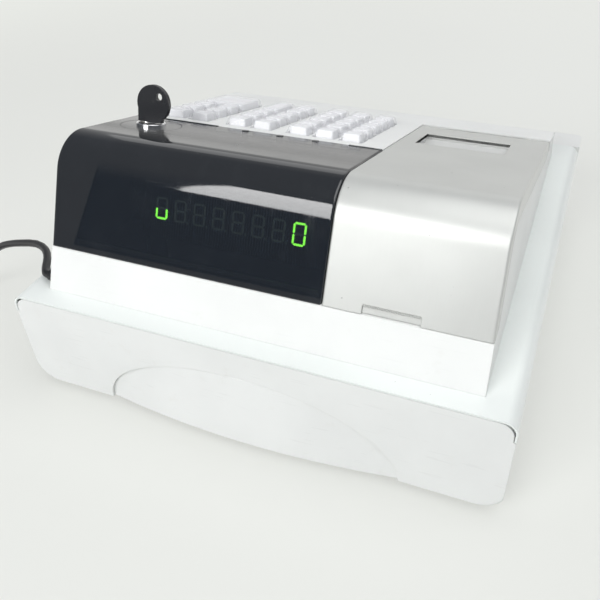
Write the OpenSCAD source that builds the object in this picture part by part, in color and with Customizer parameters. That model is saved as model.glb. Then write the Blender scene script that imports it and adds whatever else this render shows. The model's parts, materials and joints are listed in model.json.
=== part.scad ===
// Electronic cash register with a sheet-metal drawer cabinet, a keyboard deck, a receipt printer
// under a hinged cover, displays for operator and customer, and a mode key.
// The customer's side faces +Y, the operator's side -Y. The origin is under the middle, on the floor.

/* [Cabinet] */
// Width of the drawer cabinet
cabinet_w = 330; // [300:1:380]
// Depth of its sheet metal
cabinet_d = 325; // [310:1:360]
// Height of its top over the floor
cabinet_top = 81; // [79:1:95]
// Outer radius of its bends
bend_r = 8; // [5:0.5:12]
// Thickness of the sheet metal
sheet_t = 1.2; // [1:0.1:1.5]
// Width of the flanges turned in under the cabinet
flange_w = 24; // [20:1:30]
// Height of the rubber feet
foot_h = 6; // [4:0.5:8]
// Diameter of the rubber feet
foot_d = 16; // [12:1:20]
// Distance of the feet's centres from the cabinet's ends
foot_inset = 30; // [20:1:60]

/* [Rear panel] */
// Thickness of the moulded rear panel
panel_t = 3; // [2.5:0.1:4]
// Gap between the panel and the sheet metal round it
panel_gap = 0.4; // [0.3:0.1:0.8]
// Radius of its lower corners
panel_foot_r = 16; // [8:1:22]
// Radius of its upper corners
panel_top_r = 9; // [8:0.5:14]
// Half the width of the arched swelling
arch_half_w = 103; // [80:1:130]
// Height of the arched swelling
arch_h = 53; // [40:1:60]
// How far the swelling stands out at the bottom
arch_swell = 6; // [3:0.5:9]
// How far its ends lie behind the panel's face
arch_recess = 2; // [1:0.1:2.4]
// Drop of the shoulders below which the panel covers the sheet's cut edges
shoulder_drop = 14; // [11:0.5:24]

/* [Upper case] */
// Ledge of the cabinet on both sides of the case
ledge_side = 20.5; // [15:0.5:25]
// Draft of its sides, in degrees
case_draft = 2; // [1:0.5:3]
// Ledge of the cabinet behind the case
ledge_rear = 14.2; // [10:0.2:20]
// Ledge of the cabinet in front of the case
ledge_front = 20; // [12:1:30]
// Tilt of the rear face from upright, in degrees
rear_tilt = 25; // [20:1:30]
// Slope of the deck down to the operator, in degrees
deck_slope = 16.3; // [14:0.1:18]
// Height over the cabinet at which the rear face and the deck would meet
corner_h = 93.2; // [90:0.2:100]
// Radius of the crown between them
crown_r = 26; // [22:1:30]
// Lean of the front face, in degrees
front_lean = 12; // [0:1:20]
// Height of the plain band below the hood and the printer cover
band_h = 27; // [22:1:30]
// Wall of the mouldings
wall = 2.6; // [2:0.1:3]
// Gap between the mouldings
fit_gap = 0.4; // [0.3:0.1:0.6]
// Radius of the screw bosses
boss_r = 3; // [2.5:0.1:3.5]

/* [Display hood] */
// Seam between hood and printer cover, along X
seam_x = -45.6; // [-60:0.2:-40]
// Distance of the hood's far edge from the cabinet's rear edge
hood_reach = 143.5; // [138:0.5:146]
// Wall of the hood
hood_t = 2.2; // [1.8:0.1:2.6]
// Depth of the skirt at the ends of hood and cover
skirt = 12; // [10:0.5:14]
// Width of the shallow notch in the hood's far edge
hood_notch_w = 97.6; // [80:0.4:110]
// Middle of that notch, along X
hood_notch_x = 26.2; // [20:0.2:30]
// Depth of that notch
hood_notch_d = 5; // [3:0.5:6]
// Width of the three tabs in the notch
hood_tab_w = 4; // [2:0.5:6]
// Spacing of the three tabs
hood_tab_pitch = 26; // [20:0.5:28]
// Height of the rim along the far edge
hood_rim_h = 1.2; // [0.8:0.1:1.6]

/* [Displays] */
// Middle of both displays, along X
display_x = 21; // [15:0.5:30]
// Width of the customer display's tube
tube_w = 118; // [108:1:124]
// Height of the tube
tube_h = 30; // [24:1:32]
// Thickness of the tube
tube_t = 6; // [5:0.5:8]
// Depth of the tube's face behind the hood's face
tube_inset = 8; // [7:0.5:10]
// Height over the floor at which the tube's middle meets the hood's face
tube_z = 141.4; // [138:0.2:143]
// Width of the customer display's board
board_w = 126; // [122:1:129]
// Height of the customer display's board
board_h = 40; // [36:1:44]
// Thickness of the circuit boards
board_t = 1.6; // [1.2:0.1:2]
// Thickness of the display stand's legs
leg_t = 3; // [2:0.5:4]
// Width of the operator display's tube
op_tube_w = 94; // [80:1:98]
// Distance of the operator display from the cabinet's rear edge
op_reach = 112; // [108:1:114]
// Depth of the operator display's tube along the deck
op_tube_d = 26; // [20:1:28]

/* [Keyboard] */
// Pitch of the keys
key_pitch = 19.5; // [19:0.1:19.8]
// Side of a key at the deck
key_base = 17; // [15.5:0.1:17.2]
// Side of a key's top
key_top = 13.4; // [12:0.1:15]
// Height of the keys over the deck
key_rise = 6; // [5:0.2:8]
// Travel of the keys
key_travel = 2.5; // [2:0.1:3]
// Clearance of a key in its opening
key_clear = 0.3; // [0.25:0.05:0.4]
// Corner radius of the keys
key_corner = 1.6; // [1:0.1:2]
// Distance of the first row's middle from the hood's far edge
key_first_row = 18.6; // [17:0.1:22]
// Middle column of the group next to the printer
pad_x = 0.2; // [-4:0.1:2]
// Middle of the two columns of the centre group
mid_x = 57.3; // [55:0.1:60]
// Middle of the two columns of the outer group
outer_x = 107.7; // [105:0.1:111]
// Depth of the circuit board's face under the deck's face
board_depth = 12.2; // [12:0.1:13.5]
// Radius of a key's stem
stem_r = 2.5; // [2:0.1:3]
// Radius of the rubber collar round a stem
collar_r = 5; // [4.5:0.1:6]
// Height of the rubber collars
collar_h = 2.2; // [1.6:0.1:2.4]

/* [Mode lock] */
// Place of the lock along X
lock_x = 112; // [105:0.5:116]
// Distance of the lock from the cabinet's rear edge
lock_reach = 115.5; // [108:0.5:116]
// Radius of the escutcheon, which is let into the hood
escutcheon_r = 20.7; // [16:0.1:22]
// Thickness of the escutcheon
escutcheon_t = 1.2; // [0.8:0.1:1.4]
// Outer radius of the lock barrel
barrel_r = 10; // [9:0.2:11]
// Height of the barrel over the hood
barrel_rise = 2.1; // [1.5:0.1:6]
// Length of the barrel under the hood
barrel_depth = 19; // [18.5:0.5:21]
// Radius of the turning plug
rotor_r = 7.6; // [7:0.1:8]
// Running clearance of the plug
rotor_clear = 0.06; // [0.03:0.01:0.1]
// Radius of the key's bow
bow_r = 12.3; // [11:0.1:13]
// Thickness of the key's bow
bow_t = 3.2; // [2.6:0.1:4]
// Height of the bow's middle over the key's shoulder
bow_up = 12.6; // [12:0.1:14]
// Distance of the bow's middle from the blade, across the key
bow_shift = 2.6; // [0:0.1:3]
// Width of the key's shoulder
shoulder_w = 18.4; // [16:0.2:20]
// Height of the key's shoulder
shoulder_h = 8.5; // [6:0.5:10]
// Width of the key's blade
blade_w = 8.8; // [7.6:0.1:9.4]
// Thickness of the key's blade
blade_t = 2.3; // [1.8:0.1:2.6]
// Length of the blade in the lock
blade_l = 17; // [14:0.5:17.5]
// Radius of the hole in the bow
bow_hole_r = 2.5; // [1.5:0.1:2.8]

/* [Printer] */
// Width of the paper
paper_w = 57.5; // [56:0.5:58]
// Middle of the paper, along X
paper_x = -88; // [-90:0.5:-86]
// Radius of the paper roll
roll_r = 30; // [24:0.5:31]
// Radius of the roll's core
core_r = 6; // [5:0.5:8]
// Distance of the roll's centre from the cabinet's rear edge
roll_reach = 96; // [92:1:100]
// Height of the roll's centre over the cabinet
roll_h = 35; // [34.5:0.5:37]
// Radius of the platen
platen_r = 6; // [5:0.5:7]
// Radius of the platen's shaft
platen_shaft_r = 2.5; // [2:0.1:3]
// Distance of the platen from the cabinet's rear edge
platen_reach = 178; // [176:1:182]
// Height of the platen over the cabinet
platen_h = 29; // [26:0.5:30]
// Teeth of the platen's gear
gear_teeth = 22; // [18:1:26]
// Tip radius of the platen's gear
gear_r = 9; // [8:0.5:10]
// Running clearance of the shafts
shaft_clear = 0.06; // [0.03:0.01:0.1]
// Thickness of the printer's side plates
side_t = 2; // [1.5:0.1:3]

/* [Printer cover] */
// Wall of the cover
cover_t = 2.4; // [2:0.1:2.8]
// Distance of the cover's far edge from the cabinet's rear edge
cover_reach = 257; // [250:1:262]
// Radius of the rounded far edge about the hinge
nose_r = 8; // [7.5:0.1:9]
// Radius of the hinge pins
hinge_r = 2; // [1.6:0.1:2.2]
// Wall round the hinge pins
hinge_wall = 2.8; // [2:0.1:3]
// Thickness of the two hinge posts
post_t = 6; // [4:0.5:8]
// Distance of the hinge posts from the cover's middle
post_x = 33; // [30:1:36]
// Width of the paper recess
slot_w = 61; // [60:0.5:64]
// Length of the paper recess along the deck
slot_l = 41; // [36:0.5:44]
// Distance of its tear edge from the cabinet's rear edge
slot_reach = 181; // [180:0.5:183]
// Depth of the recess at the tear edge
slot_depth = 11; // [9:0.5:12]
// Width of the slit that the paper comes out of
slit_w = 5.8; // [5.6:0.1:7]
// Pitch of the tear teeth
tooth_pitch = 2; // [1.5:0.1:3]
// Depth of the tear teeth
tooth_d = 1.2; // [0.8:0.1:1.6]
// Width of the finger notch
grip_w = 34; // [24:1:40]
// Middle of the finger notch, along X
grip_x = -86.5; // [-95:0.5:-80]
// Height of the finger notch
grip_h = 6; // [3:0.1:7]

/* [Drawer] */
// Room for a runner on both sides of the drawer
drawer_side = 21; // [19:0.5:25]
// Room behind the drawer's steel tray, for its latch
drawer_behind = 39.5; // [36:0.5:48]
// Height of the drawer's floor over the floor
drawer_floor = 10; // [9.5:0.1:12]
// Height of the drawer's walls
drawer_wall_h = 56; // [50:1:60]
// Thickness of the drawer front, from its face to the cabinet
front_t = 23.5; // [20:0.5:28]
// Gap between the drawer front and the cabinet
front_gap = 0.5; // [0.4:0.1:1]
// Radius of the drawer front's upright edges
front_r = 5; // [3:0.5:8]
// Height of the runners over the base
runner_h = 15.6; // [12:0.2:20]
// Width of the runners
runner_w = 7.2; // [6:0.2:8]
// Running gap of the drawer
slide_gap = 0.3; // [0.2:0.05:0.4]

/* [Coin tray] */
// Gap between the coin tray and the drawer
tray_gap = 1.6; // [1:0.1:3]
// Height of the coin tray
tray_h = 48; // [44:1:50]
// Wall of the coin tray
tray_t = 2; // [1.6:0.1:2.4]
// Length of the coin cups
cup_l = 78; // [60:1:90]
// Number of coin cups
cup_n = 5; // [4:1:6]
// Number of note compartments
note_n = 3; // [3:1:3]
// Radius of the coin cups' scooped ends
scoop_r = 30; // [20:1:36]

/* [Note clips] */
// Radius of the clips' axles
clip_axle_r = 1.5; // [1.2:0.1:1.8]
// Width of the clips' arms
clip_w = 10; // [8:0.5:12]
// Thickness of the clips' arms
clip_t = 1.6; // [1.2:0.1:2]
// Length of the clips' arms
clip_l = 84; // [70:1:88]
// Width of the clips' bars
clip_bar_w = 50; // [40:1:60]
// Radius of the clips' bars
clip_bar_r = 3; // [2:0.5:4]
// Height of the axles over the tray's floor
clip_axle_h = 40; // [36:1:41]

/* [Drawer latch] */
// Distance of the latch's pivot behind the drawer
latch_back = 16; // [15:0.5:18]
// Height of the pivot over the floor
latch_z = 50; // [46:1:54]
// Radius of the latch's pivot pin
latch_pin_r = 1.5; // [1.2:0.1:1.8]
// Half the width of the latch lever
latch_half_w = 2; // [1.5:0.1:3]
// Thickness of the yoke's ears
ear_t = 2; // [1.5:0.1:3]
// Radius of the magnet's coil
coil_r = 7; // [6:0.5:7.5]

/* [Supply] */
// Width of the transformer
xformer_w = 50; // [40:1:54]
// Depth of the transformer
xformer_d = 42; // [36:1:46]
// Height of the transformer
xformer_h = 38; // [32:1:44]
// Distance of the transformer's middle from the case's side
xformer_side = 38.5; // [37.5:0.5:45]
// Distance of the transformer from the cabinet's rear edge
xformer_reach = 118; // [112:1:130]

/* [Cord] */
// Diameter of the cord
cord_d = 5.5; // [5:0.1:6]
// Distance of the cord's outlet from the cabinet's rear edge
outlet_reach = 22; // [20:1:32]
// Height of the outlet over the cabinet
outlet_h = 5.2; // [5.2:0.1:10]
// Length of the outlet's sleeve outside the case
sleeve_l = 5; // [4:0.5:8]
// Radius of the outlet's sleeve
sleeve_r = 4; // [3.8:0.1:4.4]
// Turns of the cord's coil in each of its two layers
coil_turns = 3.75; // [2.75:1:4.75]
// Radius of the coil's outer turn
coil_outer_r = 45; // [42:1:54]
// Gap between the coil's turns
coil_gap = 0.6; // [0.6:0.1:1]
// Length of the plug's body
plug_l = 34; // [28:1:40]
// Width of the plug's body
plug_w = 35; // [30:1:38]
// Diameter of the plug's pins
pin_d = 4.8; // [4:0.1:4.8]
// Spacing of the plug's pins
pin_pitch = 19; // [18:0.1:19.2]
// Length of the plug's pins
pin_l = 19; // [18:0.5:19.5]

/* [Hidden] */
eps = 0.01;
far = 400;

rear_y = (cabinet_d + front_gap + front_t - arch_swell) / 2;
front_y = rear_y - cabinet_d;
half_w = cabinet_w / 2;
case_half_w = half_w - ledge_side;
shoulder_z = cabinet_top - shoulder_drop;
base_z = foot_h + sheet_t;
floor_z = base_z + sheet_t;

rear_n = [cos(rear_tilt), sin(rear_tilt)];
deck_n = [-sin(deck_slope), cos(deck_slope)];
case_front_y = front_y + ledge_front;
corner = [rear_y - ledge_rear - corner_h * tan(rear_tilt), cabinet_top + corner_h];
rear_k = rear_n * corner;
deck_k = deck_n * corner;
corner_det = rear_n[0] * deck_n[1] - rear_n[1] * deck_n[0];
crown_c = [((rear_k - crown_r) * deck_n[1] - (deck_k - crown_r) * rear_n[1]) / corner_det,
           (rear_n[0] * (deck_k - crown_r) - deck_n[0] * (rear_k - crown_r)) / corner_det];
crown_steps = 10;
band_z = cabinet_top + band_h;
hood_far_y = rear_y - hood_reach;
cover_far_y = rear_y - cover_reach;
lock_y = rear_y - lock_reach;
slot_y = rear_y - slot_reach;
roll_c = [rear_y - roll_reach, cabinet_top + roll_h];
platen_c = [rear_y - platen_reach, cabinet_top + platen_h];
hinge_y = cover_far_y + nose_r;
hinge_z = deck_z(hinge_y, 0) - nose_r / cos(deck_slope);
hinge_c = [hinge_y, hinge_z];
cover_mid_x = (seam_x - case_half_w) / 2;
bay_floor_t = 2;
bay_z = cabinet_top + bay_floor_t;
seat = skirt + fit_gap;
bosses = [[33.7, -24], [33.7, -102], [82.6, -24], [82.6, -102], [-36, -60], [126, -115], [-36, -115]];

drawer_front_y = front_y + 1.5;
drawer_half_w = half_w - drawer_side;
drawer_rear_y = rear_y - drawer_behind;
runner_x = drawer_half_w + 2;
runner_z = floor_z + runner_h;
tray_floor = drawer_floor + sheet_t;
tray_half_w = drawer_half_w - sheet_t - tray_gap;
tray_front_y = drawer_front_y + sheet_t + tray_gap;
tray_rear_y = drawer_rear_y - sheet_t - tray_gap;
cup_w = (2 * tray_half_w - (cup_n + 1) * tray_t) / cup_n;
note_w = (2 * tray_half_w - (note_n + 1) * tray_t) / note_n;
note_front_y = tray_front_y + cup_l + 2 * tray_t;
clip_c = [tray_rear_y - tray_t - 8, tray_floor + clip_axle_h];
clip_drop = clip_axle_h - tray_t - clip_bar_r - 0.6;
clip_a = asin(clip_drop / clip_l);
latch_y = drawer_rear_y + latch_back;
magnet_y = latch_y + 12;
catch_z = latch_z - 15;
catch_top = latch_z - 3.6;
xformer_x = case_half_w - xformer_side;

key_hole = key_base + 2 * key_clear;
stem_foot = board_depth - key_travel - 0.3;
outlet_c = [rear_y - outlet_reach, cabinet_top + outlet_h];
outlet_x = half_w_at(outlet_c[1]) + sleeve_l;
cord_r = cord_d / 2;
cord_low = cord_r + 0.05;
coil_pitch = cord_d + coil_gap;
coil_x = 314;
coil_y = 100;
coil_tail = 26;
coil_c = [coil_x, coil_y + coil_outer_r];

// The cord's route from its outlet down to its coil
CORD_ROUTE = [
    [outlet_x, outlet_c[0], outlet_c[1]], [153, 148.5, 86], [158, 142.5, 85.5], [165, 132.5, 84.5],
    [175, 122.5, 83], [191, 114, 79], [213, 108, 71], [232, 103.5, 63], [246, 101, 55.5], [259, 100, 46],
    [271, 100, 34], [281, 100, 22], [290, 100, 11.5], [298, 100, 5], [304, 100, 3],
    [coil_x - cord_d, coil_y, cord_low]];

// The coil's centre line after so many turns: in on the lower layer, up, and out on the upper one
function coil_at(turn) =
    let (inward = min(turn, 2 * coil_turns - turn),
         climb = min(max(turn - coil_turns + 0.25, 0) / 0.5, 1),
         r = coil_outer_r - coil_pitch * inward,
         a = 360 * turn - 90)
    [coil_c[0] + r * cos(a), coil_c[1] + r * sin(a), cord_low + climb * coil_pitch];

LOOP_STEPS = 24;
COIL_TURNS = [for (i = [0:LOOP_STEPS * 2 * coil_turns]) coil_at(i / LOOP_STEPS)];
COIL_ROUTE = concat([[coil_x - cord_d, coil_y, cord_low]], COIL_TURNS,
    [COIL_TURNS[len(COIL_TURNS) - 1] - [coil_tail, 0, 0]]);

echo(least_coil_gap = min([for (i = [0:len(COIL_ROUTE) - 1 - LOOP_STEPS / 2],
    j = [i + LOOP_STEPS / 2:len(COIL_ROUTE) - 1]) norm(COIL_ROUTE[i] - COIL_ROUTE[j])]) - cord_d);

KEY_ROWS = 5;
PAD_KEYS = [for (r = [0:KEY_ROWS - 1], c = [-1:1])
    [str("key_pad_", r * 3 + c + 2), pad_x + c * key_pitch, r, 1, 1]];
MID_KEYS = concat(
    [for (r = [0:KEY_ROWS - 1]) [str("key_entry_", r + 1), mid_x - key_pitch / 2, r, 1, 1]],
    [for (r = [0:2]) [str("key_entry_", r + 6), mid_x + key_pitch / 2, r, 1, 1]],
    [["key_entry_9", mid_x + key_pitch / 2, 3.5, 1, 2]]);
OUTER_KEYS = concat(
    [for (r = [0:2], c = [0, 1]) [str("key_clerk_", r * 2 + c + 1), outer_x + (c - 0.5) * key_pitch, r, 1, 1]],
    [["key_total", outer_x, 3.5, 2, 2]]);
KEYS = concat(PAD_KEYS, MID_KEYS, OUTER_KEYS);

// Points along an arc from angle a0 to a1 in n steps
function arc_pts(c, r, a0, a1, n) =
    [for (i = [0:n]) c + r * [cos(a0 + (a1 - a0) * i / n), sin(a0 + (a1 - a0) * i / n)]];

// Height of the deck's plane over a place y, sunk by d
function deck_z(y, d) = (deck_k - d + sin(deck_slope) * y) / cos(deck_slope);

// Place of the rear face at a height z, sunk by d
function rear_face_y(z, d) = (rear_k - d - sin(rear_tilt) * z) / cos(rear_tilt);

// Half the case's width at a height z, sunk by d
function half_w_at(z, d = 0) = case_half_w - d / cos(case_draft) - (z - cabinet_top) * tan(case_draft);

// Place at which the deck, sunk by d, meets the front face, sunk by e
function front_top_y(d, e) =
    (case_front_y + e / cos(front_lean) + ((deck_k - d) / cos(deck_slope) - cabinet_top) * tan(front_lean))
    / (1 - tan(deck_slope) * tan(front_lean));

// The case's outline in Y and Z from the height z0 up, sunk by d, with its front sunk by e
function case_outline(d, z0, e) = concat(
    [[rear_face_y(z0, d), z0]],
    arc_pts(crown_c, crown_r - d, rear_tilt, 90 + deck_slope, crown_steps),
    [[front_top_y(d, e), deck_z(front_top_y(d, e), d)],
     [case_front_y + e / cos(front_lean) + (z0 - cabinet_top) * tan(front_lean), z0]]);

// Extrudes a shape drawn in Y and Z from x0 to x1
module prism_x(x0, x1) translate([x0, 0, 0]) rotate([90, 0, 90]) linear_extrude(x1 - x0) children();

// Extrudes a shape drawn in X and Z from y0 to y1
module prism_y(y0, y1) translate([0, y1, 0]) rotate([90, 0, 0]) linear_extrude(y1 - y0) children();

// Puts children on the deck's plane over y: their Y runs up the slope, their Z stands square to it
module on_deck(y) translate([0, y, deck_z(y, 0)]) rotate([deck_slope, 0, 0]) children();

// Puts children on the rear face at the height z, as the customer sees them: X right, Y up, Z out
module on_rear(z) translate([0, rear_face_y(z, 0), z]) rotate([90 - rear_tilt, 0, 180]) children();

// A box between two opposite corners
module box(a, b) translate(a) cube(b - a);

// A cylinder along X through the point c of Y and Z
module rod_x(c, r, x0, x1) translate([x0, c[0], c[1]]) rotate([0, 90, 0]) cylinder(r = r, h = x1 - x0, $fn = 48);

// Cuts children to the case's drafted sides, sunk by d
module between_sides(d) {
    z0 = cabinet_top - 10;
    z1 = cabinet_top + 130;
    intersection() {
        prism_y(-far, far) polygon([
            [-half_w_at(z0, d), z0], [half_w_at(z0, d), z0], [half_w_at(z1, d), z1], [-half_w_at(z1, d), z1]]);
        children();
    }
}

// The layer between two depths under the case's skin, behind y_far and over z_low
module skin_layer(d_out, d_in, y_far, z_low) intersection() {
    difference() {
        polygon(case_outline(d_out, cabinet_top - 10, d_out));
        polygon(case_outline(d_in, cabinet_top - 11, d_in));
    }
    translate([y_far, z_low]) square(far);
}

// A rectangle with lower corners of radius r0 and upper corners of radius r1
function plate_pts(x0, z0, x1, z1, r0, r1) = concat(
    arc_pts([x0 + r0, z0 + r0], r0, 180, 270, 8), arc_pts([x1 - r0, z0 + r0], r0, 270, 360, 8),
    arc_pts([x1 - r1, z1 - r1], r1, 0, 90, 8), arc_pts([x0 + r1, z1 - r1], r1, 90, 180, 8));

module cabinet_shell() color([0.86, 0.9, 0.86]) difference() {
    prism_y(front_y, rear_y) difference() {
        polygon(plate_pts(-half_w, foot_h, half_w, cabinet_top, bend_r, bend_r));
        polygon(plate_pts(-half_w + sheet_t, base_z, half_w - sheet_t, cabinet_top - sheet_t,
            bend_r - sheet_t, bend_r - sheet_t));
        translate([-half_w + flange_w, 0]) square([cabinet_w - 2 * flange_w, base_z + eps]);
    }
    box([-half_w - 1, rear_y - panel_t - panel_gap, 0], [half_w + 1, rear_y + 1, shoulder_z + panel_gap]);
}

// The arched swelling's outline, drawn in by d
module arch(d) polygon(concat(
    [for (i = [0:24]) [(arch_half_w - d) * cos(180 * i / 24), foot_h + (arch_h - d) * sin(180 * i / 24)]]));

// The round that the swelling's surface lies on, leaning out towards the floor
module arch_round(sink) {
    sag = arch_swell + arch_recess;
    r = (arch_half_w * arch_half_w + sag * sag) / (2 * sag);
    lean = atan(arch_swell / arch_h);
    translate([0, rear_y + arch_swell, foot_h]) rotate([lean, 0, 0])
        translate([0, -r, -20]) cylinder(r = r - sink, h = 120, $fn = 360);
}

module rear_panel() color([0.88, 0.89, 0.9]) difference() {
    union() {
        difference() {
            prism_y(rear_y - panel_t, rear_y) {
                polygon(plate_pts(
                    -half_w + sheet_t + panel_gap, foot_h, half_w - sheet_t - panel_gap,
                    cabinet_top - sheet_t - panel_gap, panel_foot_r, panel_top_r));
                polygon(plate_pts(-half_w, foot_h, half_w, shoulder_z, panel_foot_r, 1.6));
            }
            prism_y(rear_y - arch_recess, rear_y + 1) arch(0);
        }
        intersection() {
            prism_y(rear_y - panel_t + 0.2, rear_y + 20) arch(0);
            arch_round(0);
        }
    }
    intersection() {
        prism_y(rear_y - panel_t - 10, rear_y + 20) arch(wall);
        arch_round(wall);
        box([-half_w, rear_y - panel_t - 1, foot_h + wall], [half_w, rear_y + 20, cabinet_top]);
    }
}

module runner(side) mirror([side < 0 ? 1 : 0, 0, 0]) prism_y(front_y + 3, rear_y - panel_t - 8) {
    translate([runner_x, floor_z]) square([sheet_t, runner_h]);
    translate([runner_x, runner_z - sheet_t]) square([runner_w, sheet_t]);
    translate([runner_x + runner_w - sheet_t, floor_z]) square([sheet_t, runner_h + 2 * slide_gap + 2 * sheet_t]);
    translate([runner_x + 1.6, runner_z + 2 * slide_gap + sheet_t]) square([runner_w - 1.6, sheet_t]);
}

module base_plate() color([0.62, 0.63, 0.64]) {
    difference() {
        union() {
            box([-half_w + 10, front_y + 1, base_z], [half_w - 10, rear_y - panel_t - 2, floor_z]);
            for (s = [-1, 1])
                translate([s * (latch_half_w + slide_gap + ear_t / 2), 0, 0]) prism_x(-ear_t / 2, ear_t / 2)
                    polygon(concat([[latch_y - 4, floor_z - eps], [latch_y + 4, floor_z - eps]],
                        arc_pts([latch_y, latch_z], 4, 0, 180, 10)));
        }
        rod_x([latch_y, latch_z], latch_pin_r + shaft_clear, -20, 20);
    }
    for (s = [-1, 1]) runner(s);
}

module rubber_feet() color([0.12, 0.12, 0.13])
    for (x = [-1, 1], y = [front_y + foot_inset, rear_y - foot_inset])
        translate([x * (half_w - flange_w / 2 - 1), y, 0]) {
            cylinder(r1 = foot_d / 2 - 1, r2 = foot_d / 2, h = 1, $fn = 48);
            translate([0, 0, 1]) cylinder(r = foot_d / 2, h = foot_h - 1, $fn = 48);
        }

module drawer_tray() color([0.7, 0.71, 0.72]) {
    difference() {
        box([-drawer_half_w, drawer_front_y, drawer_floor],
            [drawer_half_w, drawer_rear_y, drawer_floor + drawer_wall_h]);
        box([-drawer_half_w + sheet_t, drawer_front_y + sheet_t, tray_floor],
            [drawer_half_w - sheet_t, drawer_rear_y - sheet_t, cabinet_top]);
    }
    for (s = [0, 1]) mirror([s, 0, 0])
        box([drawer_half_w - eps, drawer_front_y + 2, runner_z + slide_gap],
            [runner_x + runner_w - sheet_t - 1, drawer_rear_y, runner_z + slide_gap + sheet_t]);
    prism_x(-6, 6) polygon([
        [drawer_rear_y - eps, catch_z], [drawer_rear_y + 11, catch_z], [drawer_rear_y + 11, catch_top],
        [drawer_rear_y + 9, catch_top], [drawer_rear_y + 9, catch_z + 2], [drawer_rear_y - eps, catch_z + 2]]);
}

module drawer_front() color([0.9, 0.9, 0.88]) {
    y1 = front_y - front_gap;
    z1 = cabinet_top - 0.4;
    difference() {
        translate([0, 0, foot_h]) linear_extrude(z1 - foot_h) polygon(concat(
            arc_pts([-half_w + front_r, y1 - front_t + front_r], front_r, 180, 270, 8),
            arc_pts([half_w - front_r, y1 - front_t + front_r], front_r, 270, 360, 8),
            [[half_w, y1], [-half_w, y1]]));
        box([-half_w + wall, y1 - front_t + wall, foot_h + wall], [half_w - wall, y1 + 1, z1 - wall]);
    }
    for (x = [-110, -40, 40, 110])
        difference() {
            box([x - 12, y1 - front_t + wall - eps, drawer_floor + 6], [x + 12, drawer_front_y, drawer_floor + 46]);
            box([x - 10, y1 - front_t + wall - 1, drawer_floor + 8], [x + 10, drawer_front_y - 2, drawer_floor + 44]);
        }
}

// A hollow that opens upwards, with ends scooped to the radius r
module scooped(x0, x1, y0, y1, z0, z1, r) prism_x(x0, x1) polygon(concat(
    [[y1, z1]], [[y0, z1]],
    arc_pts([y0 + r, z0 + r], r, 180, 270, 8), arc_pts([y1 - r, z0 + r], r, 270, 360, 8)));

module coin_tray() color([0.16, 0.16, 0.17]) {
    z0 = tray_floor;
    z1 = z0 + tray_h;
    difference() {
        box([-tray_half_w, tray_front_y, z0], [tray_half_w, tray_rear_y, z1]);
        for (i = [0:cup_n - 1]) {
            x0 = -tray_half_w + tray_t + i * (cup_w + tray_t);
            scooped(x0, x0 + cup_w, tray_front_y + tray_t, tray_front_y + tray_t + cup_l, z0 + tray_t, z1 + 1,
                scoop_r);
        }
        for (i = [0:note_n - 1]) {
            x0 = -tray_half_w + tray_t + i * (note_w + tray_t);
            box([x0, note_front_y, z0 + tray_t], [x0 + note_w, tray_rear_y - tray_t, z1 + 1]);
        }
    }
    for (i = [1:note_n], s = [-1, 1])
        difference() {
            translate([clip_x(i) + s * (clip_w / 2 + slide_gap + 1.25), 0, 0]) prism_x(-1.25, 1.25)
                polygon(concat([[tray_rear_y - tray_t + eps, clip_c[1] + 3.5]],
                    arc_pts(clip_c, 3.5, 90, 270, 10),
                    [[tray_rear_y - tray_t + eps, clip_c[1] - 8]]));
            rod_x(clip_c, clip_axle_r + shaft_clear, -tray_half_w, tray_half_w);
        }
}

// Middle of the note compartment number i
function clip_x(i) = -tray_half_w + tray_t + note_w / 2 + (i - 1) * (note_w + tray_t);

module bill_clip(i) color([0.75, 0.76, 0.77]) translate([clip_x(i), 0, 0]) {
    reach = clip_w / 2 + slide_gap + 4;
    tip = clip_c + clip_l * [-cos(clip_a), -sin(clip_a)];
    up = clip_t / 2 * [-sin(clip_a), cos(clip_a)];
    rod_x(clip_c, clip_axle_r, -reach, reach);
    rod_x(clip_c, 3, -clip_w / 2, clip_w / 2);
    prism_x(-clip_w / 2, clip_w / 2) polygon([clip_c + up, tip + up, tip - up, clip_c - up]);
    rod_x(tip, clip_bar_r, -clip_bar_w / 2, clip_bar_w / 2);
}

module drawer_latch() color([0.55, 0.56, 0.58]) {
    tooth_y = drawer_rear_y + 4;
    tooth_z = catch_top + 1.1;
    pole_y = magnet_y - 5;
    reach = latch_half_w + slide_gap + ear_t + 1;
    rod_x([latch_y, latch_z], latch_pin_r, -reach, reach);
    prism_x(-latch_half_w, latch_half_w) polygon([
        [latch_y - 3, latch_z - 1.4], [tooth_y + 2.5, latch_z - 1.4], [tooth_y + 2.5, tooth_z],
        [tooth_y, tooth_z], [tooth_y, latch_z + 1.4], [latch_y - 3, latch_z + 3],
        [magnet_y + 4, latch_z + 0.6], [magnet_y + 4, latch_z - 1.8], [pole_y, latch_z - 1.8],
        [latch_y, latch_z - 3]]);
}

module latch_solenoid() color([0.6, 0.3, 0.15]) translate([0, magnet_y, 0]) {
    translate([0, 0, floor_z]) cylinder(r = coil_r, h = sheet_t, $fn = 48);
    translate([0, 0, floor_z + sheet_t]) cylinder(r = 3, h = latch_z - 1.8 - slide_gap - floor_z - sheet_t, $fn = 48);
    translate([0, 0, floor_z + 4]) cylinder(r = coil_r - 0.6, h = 26, $fn = 48);
    for (z = [floor_z + sheet_t, floor_z + 30]) translate([0, 0, z]) cylinder(r = coil_r, h = 2.8, $fn = 48);
}

// The case's block, sunk by d all round
module case_block(d, z0) between_sides(d) prism_x(-half_w, half_w) polygon(case_outline(d, z0, d));

module key_openings() on_deck(hood_far_y)
    for (k = KEYS) translate([k[1], -key_first_row - k[2] * key_pitch, -10])
        translate([-key_hole / 2 - (k[3] - 1) * key_pitch / 2, -key_hole / 2 - (k[4] - 1) * key_pitch / 2, 0])
            cube([key_hole + (k[3] - 1) * key_pitch, key_hole + (k[4] - 1) * key_pitch, 20]);

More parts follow.
